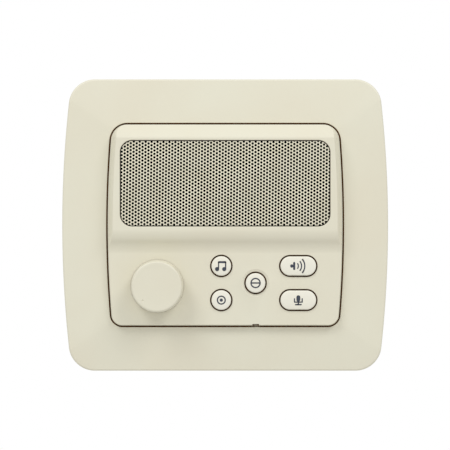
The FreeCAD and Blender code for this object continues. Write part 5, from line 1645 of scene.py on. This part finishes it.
@dataclass
class VolumeKnob:
    """The push-on volume knob: a hollow, slightly tapered cap with a raised rim."""

    x: float = -42.4
    z: float = -38.2
    face: float = 31.4
    base: float = 33.0
    back: float = 12.4
    front: float = 26.5
    wall: float = 1.9
    edge_round: float = 1.1
    boss: float = 10.0
    boss_back: float = 15.8
    bore: float = 6.0
    bore_front: float = 24.2
    dish: float = 0.12
    rim: float = 1.1
    # The dish's steps in from the rim: how wide each is, and its share of the dish's depth.
    dish_steps: tuple[Corner, ...] = ((0.8, 0.6), (2.4, 0.4))
    dimple_offset: float = 12.3
    dimple: float = 1.6
    # How far the ball that cuts the dimple is lifted off the face.
    dimple_lift: float = 0.3
    sides: int = 128

    def build(self) -> Piece:
        """Shape the knob from a tapered disc.

        Returns:
            The finished piece.
        """
        clear_bench()
        bpy.ops.mesh.primitive_cone_add(
            vertices=self.sides, radius1=self.base / 2, radius2=self.face / 2,
            depth=self.front - self.back, end_fill_type="NGON",
            location=(self.x, -(self.front + self.back) / 2, self.z),
            rotation=(math.pi / 2, 0.0, 0.0),
        )
        bpy.ops.object.transform_apply(location=True, rotation=True, scale=True)
        piece = label("turned_knob")
        self.hollow(piece)
        bevel_edges(piece, self.edge_round, 7, edge_at(self.front))
        with editing(piece):
            pick(piece, Pick.FACES, front_at(self.front))
            bpy.ops.mesh.inset(thickness=self.rim, depth=0.0)
            for width, share in self.dish_steps:
                bpy.ops.mesh.inset(thickness=width, depth=-self.dish * share)
        reach = self.dimple_offset * math.sqrt(0.5)
        clear_bench()
        bpy.ops.mesh.primitive_uv_sphere_add(
            segments=32, ring_count=16, radius=self.dimple / 2,
            location=(self.x - reach, -self.front - self.dimple_lift, self.z - reach),
        )
        bpy.ops.object.transform_apply(location=True, rotation=True, scale=True)
        combine(piece, Join.CUT, label("knob_dimple"))
        return complete(piece, smooth_angle=35.0)

    def hollow(self, piece: Piece) -> None:
        """Hollow the back and leave the boss with its bore.

        Args:
            piece: the solid knob.
        """
        ceiling = self.front - self.wall
        inner = self.face / 2 - self.wall
        centre = (self.x, 0.0, self.z)
        with editing(piece):
            pick(piece, Pick.FACES, lambda face: face.normal.dot(FRONT) < -LOOKS_FRONT)
            bpy.ops.mesh.inset(thickness=self.wall, depth=0.0)
            bpy.ops.mesh.extrude_region_move(
                TRANSFORM_OT_translate=slide(depth=ceiling - self.back))
            narrow = inner / (self.base / 2 - self.wall)
            bpy.ops.transform.resize(value=(narrow, 1.0, narrow), center_override=centre)
            bpy.ops.mesh.inset(thickness=inner - self.boss / 2, depth=0.0)
            bpy.ops.mesh.extrude_region_move(
                TRANSFORM_OT_translate=slide(depth=self.boss_back - ceiling))
            bpy.ops.mesh.inset(thickness=(self.boss - self.bore) / 2, depth=0.0)
            bpy.ops.mesh.extrude_region_move(
                TRANSFORM_OT_translate=slide(depth=self.bore_front - self.boss_back))


# ---------------------------------------------------------------- keys

class Mark(Enum):
    """The generic picture printed on a key."""

    NOTE = "note"
    RING = "ring"
    SHUT = "shut"
    WAVES = "waves"
    MICROPHONE = "microphone"


# A printed stroke's round as a share of its width: a little under half, so that its corners
# stay apart.
STROKE_ROUND = 0.49


@dataclass
class Key:
    """A sprung key: a hollow cap with its lip and stem, and the picture printed on it."""

    name: str
    x: float
    z: float
    width: float
    height: float
    mark: Mark
    dished: bool = False
    gap: float = 0.8
    back: float = 8.5
    front: float = 13.6
    edge_round: float = 0.9
    lip: float = 0.8
    lip_front: float = 9.5
    wall: float = 1.3
    stem: float = 4.6
    crown: tuple[tuple[float, float], ...] = ((0.5, 0.09), (0.9, 0.11), (1.1, 0.08), (1.0, 0.04))
    corner_steps: int = 28
    print_height: float = 0.03
    print_root: float = 0.25
    arc_steps: int = 20

    def bar(self, name: str, growth: float, back: float, front: float) -> Piece:
        """A solid with the key hole's outline.

        Args:
            name: the new piece's name.
            growth: how far it is grown all round.
            back: the depth of its back.
            front: the depth of its front.

        Returns:
            The new piece.
        """
        height = self.height + growth * 2
        return rounded_bar(
            name, self.width + growth * 2, height, height / 2, back, front, self.x, self.z,
            self.corner_steps,
        )

    def covers(self, x: float, z: float, margin: float) -> bool:
        """Whether a point lies inside the key's hole or within this margin of it.

        Args:
            x: where, along X.
            z: where, along Z.
            margin: how far outside the hole still counts.

        Returns:
            True if it does.
        """
        straight = (self.width - self.height) / 2
        past = max(0.0, abs(x - self.x) - straight)
        return math.hypot(past, z - self.z) < self.height / 2 + margin

    def build(self) -> Piece:
        """Shape the cap from the plunger it rests on to its crowned front.

        Returns:
            The finished piece.
        """
        piece = self.bar(f"{self.name}_cap", -self.gap, self.back, self.front)
        bevel_edges(piece, self.edge_round, 6, edge_at(self.front))
        with editing(piece):
            pick(piece, Pick.FACES, front_at(self.front))
            for thickness, depth in self.crown:
                bpy.ops.mesh.inset(thickness=thickness, depth=depth)
        combine(piece, Join.ADD, self.bar("key_lip", self.lip, self.back, self.lip_front))
        combine(piece, Join.CUT, self.bar(
            "key_hollow", -self.gap - self.wall, self.back - OVERRUN, self.front - self.wall,
        ))
        plunger_front = -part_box(f"{self.name}_plunger")[0].y / MM
        combine(piece, Join.ADD, round_bar(
            "key_stem", self.stem, plunger_front, self.front - self.wall / 2, self.x, self.z, sides=32,
        ))
        return complete(piece, smooth_angle=35.0)

    def print_mark(self) -> Piece:
        """The key's picture as a thin printed layer on the crown.

        Returns:
            The finished piece.
        """
        base = self.front + sum(depth for _, depth in self.crown)
        parts = {
            Mark.NOTE: self.note, Mark.RING: self.ring, Mark.SHUT: self.shut,
            Mark.WAVES: self.waves, Mark.MICROPHONE: self.microphone,
        }[self.mark](base)
        if len(parts) > 1:
            take(*parts)
            bpy.ops.object.join()
        piece = parts[0]
        piece.name = f"{self.name}_mark"
        return complete(piece)

    def stroke(self, base: float, width: float, height: float, x: float, z: float) -> Piece:
        """One printed bar with rounded ends.

        Args:
            base: the depth of the surface that it is printed on.
            width: its size along X.
            height: its size along Z.
            x: its middle along X, from the key's.
            z: its middle along Z, from the key's.

        Returns:
            The new piece.
        """
        return rounded_bar(
            "stroke", width, height, min(width, height) * STROKE_ROUND, base - self.print_root,
            base + self.print_height, self.x + x, self.z + z, steps=5,
        )

    def arc(self, base: float, radius: float, line: float, half_turn: float, x: float) -> Piece:
        """One printed arc that opens to the left, spun from a short line.

        Args:
            base: the depth of the surface that it is printed on.
            radius: the arc's radius.
            line: how wide the line is.
            half_turn: how far it turns to each side of the middle, in radians.
            x: its centre along X, from the key's.

        Returns:
            The new piece.
        """
        clear_bench()
        bpy.ops.mesh.primitive_plane_add(size=line, rotation=(math.pi / 2, 0.0, 0.0))
        bpy.ops.object.transform_apply(location=False, rotation=True, scale=False)
        piece = label("arc")
        centre = (self.x + x, -base - self.print_height, self.z)
        for vertex in piece.data.vertices:
            across = math.copysign(line / 2, vertex.co.x)
            turn = -half_turn
            vertex.co = (
                centre[0] + (radius + across) * math.cos(turn), centre[1],
                centre[2] + (radius + across) * math.sin(turn),
            )
        with editing(piece):
            merge(SAME_POINT)
            bpy.ops.mesh.select_all(action="SELECT")
            bpy.ops.mesh.spin(
                steps=self.arc_steps, angle=half_turn * 2, center=(self.x + x, 0.0, self.z),
                axis=(0.0, 1.0, 0.0),
            )
            merge(SAME_POINT)
        face_forward(piece)
        change(piece, "SOLIDIFY", thickness=self.print_height + self.print_root, offset=-1.0)
        return piece

    def circle(self, base: float, outer: float, inner: float, x: float, z: float = 0.0) -> Piece:
        """One printed ring, or a disc.

        Args:
            base: the depth of the surface that it is printed on.
            outer: the outer radius.
            inner: the radius of the hole, or nothing for a disc.
            x: its centre along X, from the key's.
            z: its centre along Z, from the key's.

        Returns:
            The new piece.
        """
        disc = round_bar(
            "disc", outer * 2, base - self.print_root, base + self.print_height,
            self.x + x, self.z + z,
        )
        if inner:
            combine(disc, Join.CUT, round_bar(
                "disc_hole", inner * 2, base - OVERRUN, base + OVERRUN, self.x + x, self.z + z,
            ))
        return disc

    def note(self, base: float) -> list[Piece]:
        """A pair of joined notes, for the music source.

        Args:
            base: the depth of the surface that it is printed on.

        Returns:
            Its printed shapes.
        """
        return [
            self.circle(base, 1.25, 0.0, -2.6, -1.9), self.circle(base, 1.25, 0.0, 1.8, -1.9),
            self.stroke(base, 0.7, 4.8, -1.7, 0.4), self.stroke(base, 0.7, 4.8, 2.7, 0.4),
            self.stroke(base, 5.1, 1.2, 0.5, 2.4),
        ]

    def ring(self, base: float) -> list[Piece]:
        """A ring with a dot in it, for setting."""
        return [self.circle(base, 2.8, 2.05, 0.0), self.circle(base, 1.0, 0.0, 0.0)]

    def shut(self, base: float) -> list[Piece]:
        """A ring with a bar across it, for privacy."""
        return [self.circle(base, 3.2, 2.45, 0.0), self.stroke(base, 5.5, 0.85, 0.0, 0.0)]

    def waves(self, base: float) -> list[Piece]:
        """A speaker with its waves, for listening.

        Args:
            base: the depth of the surface that it is printed on.

        Returns:
            Its printed shapes.
        """
        return [
            self.stroke(base, 2.0, 2.1, -4.1, 0.0), self.stroke(base, 1.3, 5.0, -2.6, 0.0),
            *(self.arc(base, radius, 0.75, math.radians(40), -2.6) for radius in (2.6, 4.6, 6.6)),
        ]

    def microphone(self, base: float) -> list[Piece]:
        """A microphone head in its holder, for talking.

        Args:
            base: the depth of the surface that it is printed on.

        Returns:
            Its printed shapes.
        """
        return [
            self.stroke(base, 2.4, 4.0, 0.0, 1.0), self.stroke(base, 0.8, 1.7, 0.0, -2.0),
            self.stroke(base, 4.2, 0.75, 0.0, -2.8),
            self.stroke(base, 0.75, 2.4, -2.4, 0.0), self.stroke(base, 0.75, 2.4, 2.4, 0.0),
            self.stroke(base, 5.5, 0.75, 0.0, -1.25),
        ]


KEYS = (
    Key("source", -2.4, -25.6, 13.9, 13.9, Mark.NOTE),
    Key("set", -2.4, -46.9, 13.9, 13.9, Mark.RING),
    Key("privacy", 19.0, -36.2, 13.9, 13.9, Mark.SHUT, dished=True),
    Key("listen", 45.7, -25.6, 23.9, 13.6, Mark.WAVES),
    Key("talk", 45.7, -46.9, 23.9, 13.6, Mark.MICROPHONE),
)


# ---------------------------------------------------------------- studio

@dataclass
class Studio:
    """A plain floor, soft lamps, an even dome and the camera."""

    distance: float = 1.6
    view_width: float = 0.28125
    aim_x: float = -0.00009
    sensor: float = 36.0
    floor_z: float = -0.30
    floor_radius: float = 1.5
    dome: float = 0.55
    left_power: float = 10.2
    right_power: float = 9.6
    lamp_size: float = 0.7
    # Where the right lamp hangs; the left one mirrors it.
    lamp_place: tuple[float, float, float] = (0.85, -1.0, 1.25)
    # The depth, in metres, of the face that the camera's distance is counted from.
    face_depth: float = 0.012
    clip: Corner = (0.05, 20.0)
    paper: str = "#e9e8e5"
    paper_roughness: float = 0.9

    def build(self) -> None:
        """Make the camera, the lamps, the dome and the floor."""
        self.camera()
        x, y, z = self.lamp_place
        self.lamp("left_lamp", (-x, y, z), self.left_power)
        self.lamp("right_lamp", (x, y, z), self.right_power)
        self.sky()
        self.floor()
        bpy.context.scene.view_settings.view_transform = "Standard"

    def camera(self) -> None:
        """A long lens straight in front, so that the face fills its known share."""
        clear_bench()
        bpy.ops.object.camera_add(
            location=(self.aim_x, -self.distance - self.face_depth, 0.0),
            rotation=(math.pi / 2, 0.0, 0.0),
        )
        camera = bpy.context.active_object
        camera.data.sensor_width = self.sensor
        camera.data.lens = self.sensor * self.distance / self.view_width
        camera.data.clip_start, camera.data.clip_end = self.clip
        bpy.context.scene.camera = camera

    def lamp(self, name: str, place: tuple[float, float, float], power: float) -> None:
        """A large soft lamp that looks at the station.

        Args:
            name: the lamp's name.
            place: where it hangs, in metres.
            power: its power in watts.
        """
        clear_bench()
        towards = Vector((0.0, 0.0, 0.0)) - Vector(place)
        bpy.ops.object.light_add(
            type="AREA", location=place, rotation=towards.to_track_quat("-Z", "Y").to_euler(),
        )
        lamp = bpy.context.active_object
        lamp.name = name
        lamp.data.energy = power
        lamp.data.size = self.lamp_size

    def sky(self) -> None:
        """An even dome that shows as white to the camera and in reflections."""
        world = bpy.data.worlds.new("studio_dome")
        world.use_nodes = True
        bpy.context.scene.world = world
        tree = world.node_tree
        tree.nodes.clear()
        path = add_node(tree, "ShaderNodeLightPath")
        seen = add_node(
            tree, "ShaderNodeMath",
            {0: path.outputs["Is Camera Ray"], 1: path.outputs["Is Glossy Ray"]}, operation="MAXIMUM",
        )
        seen = add_node(
            tree, "ShaderNodeMath",
            {0: seen.outputs["Value"], 1: path.outputs["Is Transmission Ray"]}, operation="MAXIMUM",
        )
        soft = add_node(tree, "ShaderNodeBackground", {"Color": linear("#ffffff"), "Strength": self.dome})
        white = add_node(tree, "ShaderNodeBackground", {"Color": linear("#ffffff"), "Strength": 1.0})
        both = add_node(
            tree, "ShaderNodeMixShader",
            {0: seen.outputs["Value"], 1: soft.outputs["Background"], 2: white.outputs["Background"]},
        )
        add_node(tree, "ShaderNodeOutputWorld", {"Surface": both.outputs["Shader"]})

    def floor(self) -> None:
        """A pale round floor below the station."""
        clear_bench()
        bpy.ops.mesh.primitive_circle_add(
            vertices=64, radius=self.floor_radius, fill_type="NGON", location=(0.0, 0.0, self.floor_z),
        )
        floor = label("studio_floor")
        take(floor)
        bpy.ops.object.transform_apply(location=True, rotation=True, scale=True)
        material = bpy.data.materials.new("studio_paper")
        material.use_nodes = True
        shader = material.node_tree.nodes["Principled BSDF"]
        shader.inputs["Base Color"].default_value = linear(self.paper)
        shader.inputs["Roughness"].default_value = self.paper_roughness
        floor.data.materials.append(material)


# ---------------------------------------------------------------- the station

def dress_frame() -> None:
    """Give each CAD node that shows as it is the finish of its slot."""
    for row in frame["record"]["subparts"]:
        dress(frame["nodes"][row["node"]], FINISHES[row["material_slot"]])


def main() -> None:
    """Build the station and its studio."""
    logging.basicConfig(level=logging.INFO, format="%(name)s: %(message)s")
    dress_frame()
    knob, grille = VolumeKnob(), SpeakerGrille()
    install(TrimFrame().build(), ivory_abs, "station", "trim_frame")
    install(FrontBezel().build(KEYS, knob), ivory_abs, "station", "front_bezel")
    install(grille.build(), ivory_enamel, "station", "speaker_grille")
    cloth = install(grille.cloth(), black_cloth, "station", "grille_cloth")
    grille.flat_size()
    install(knob.build(), knob_abs, "volume_control", "volume_knob")
    for key in KEYS:
        install(key.build(), key_abs, f"{key.name}_key", f"{key.name}_button")
        install(key.print_mark(), marking_ink, f"{key.name}_key")
    Studio().build()


if __name__ == "__main__":
    main()
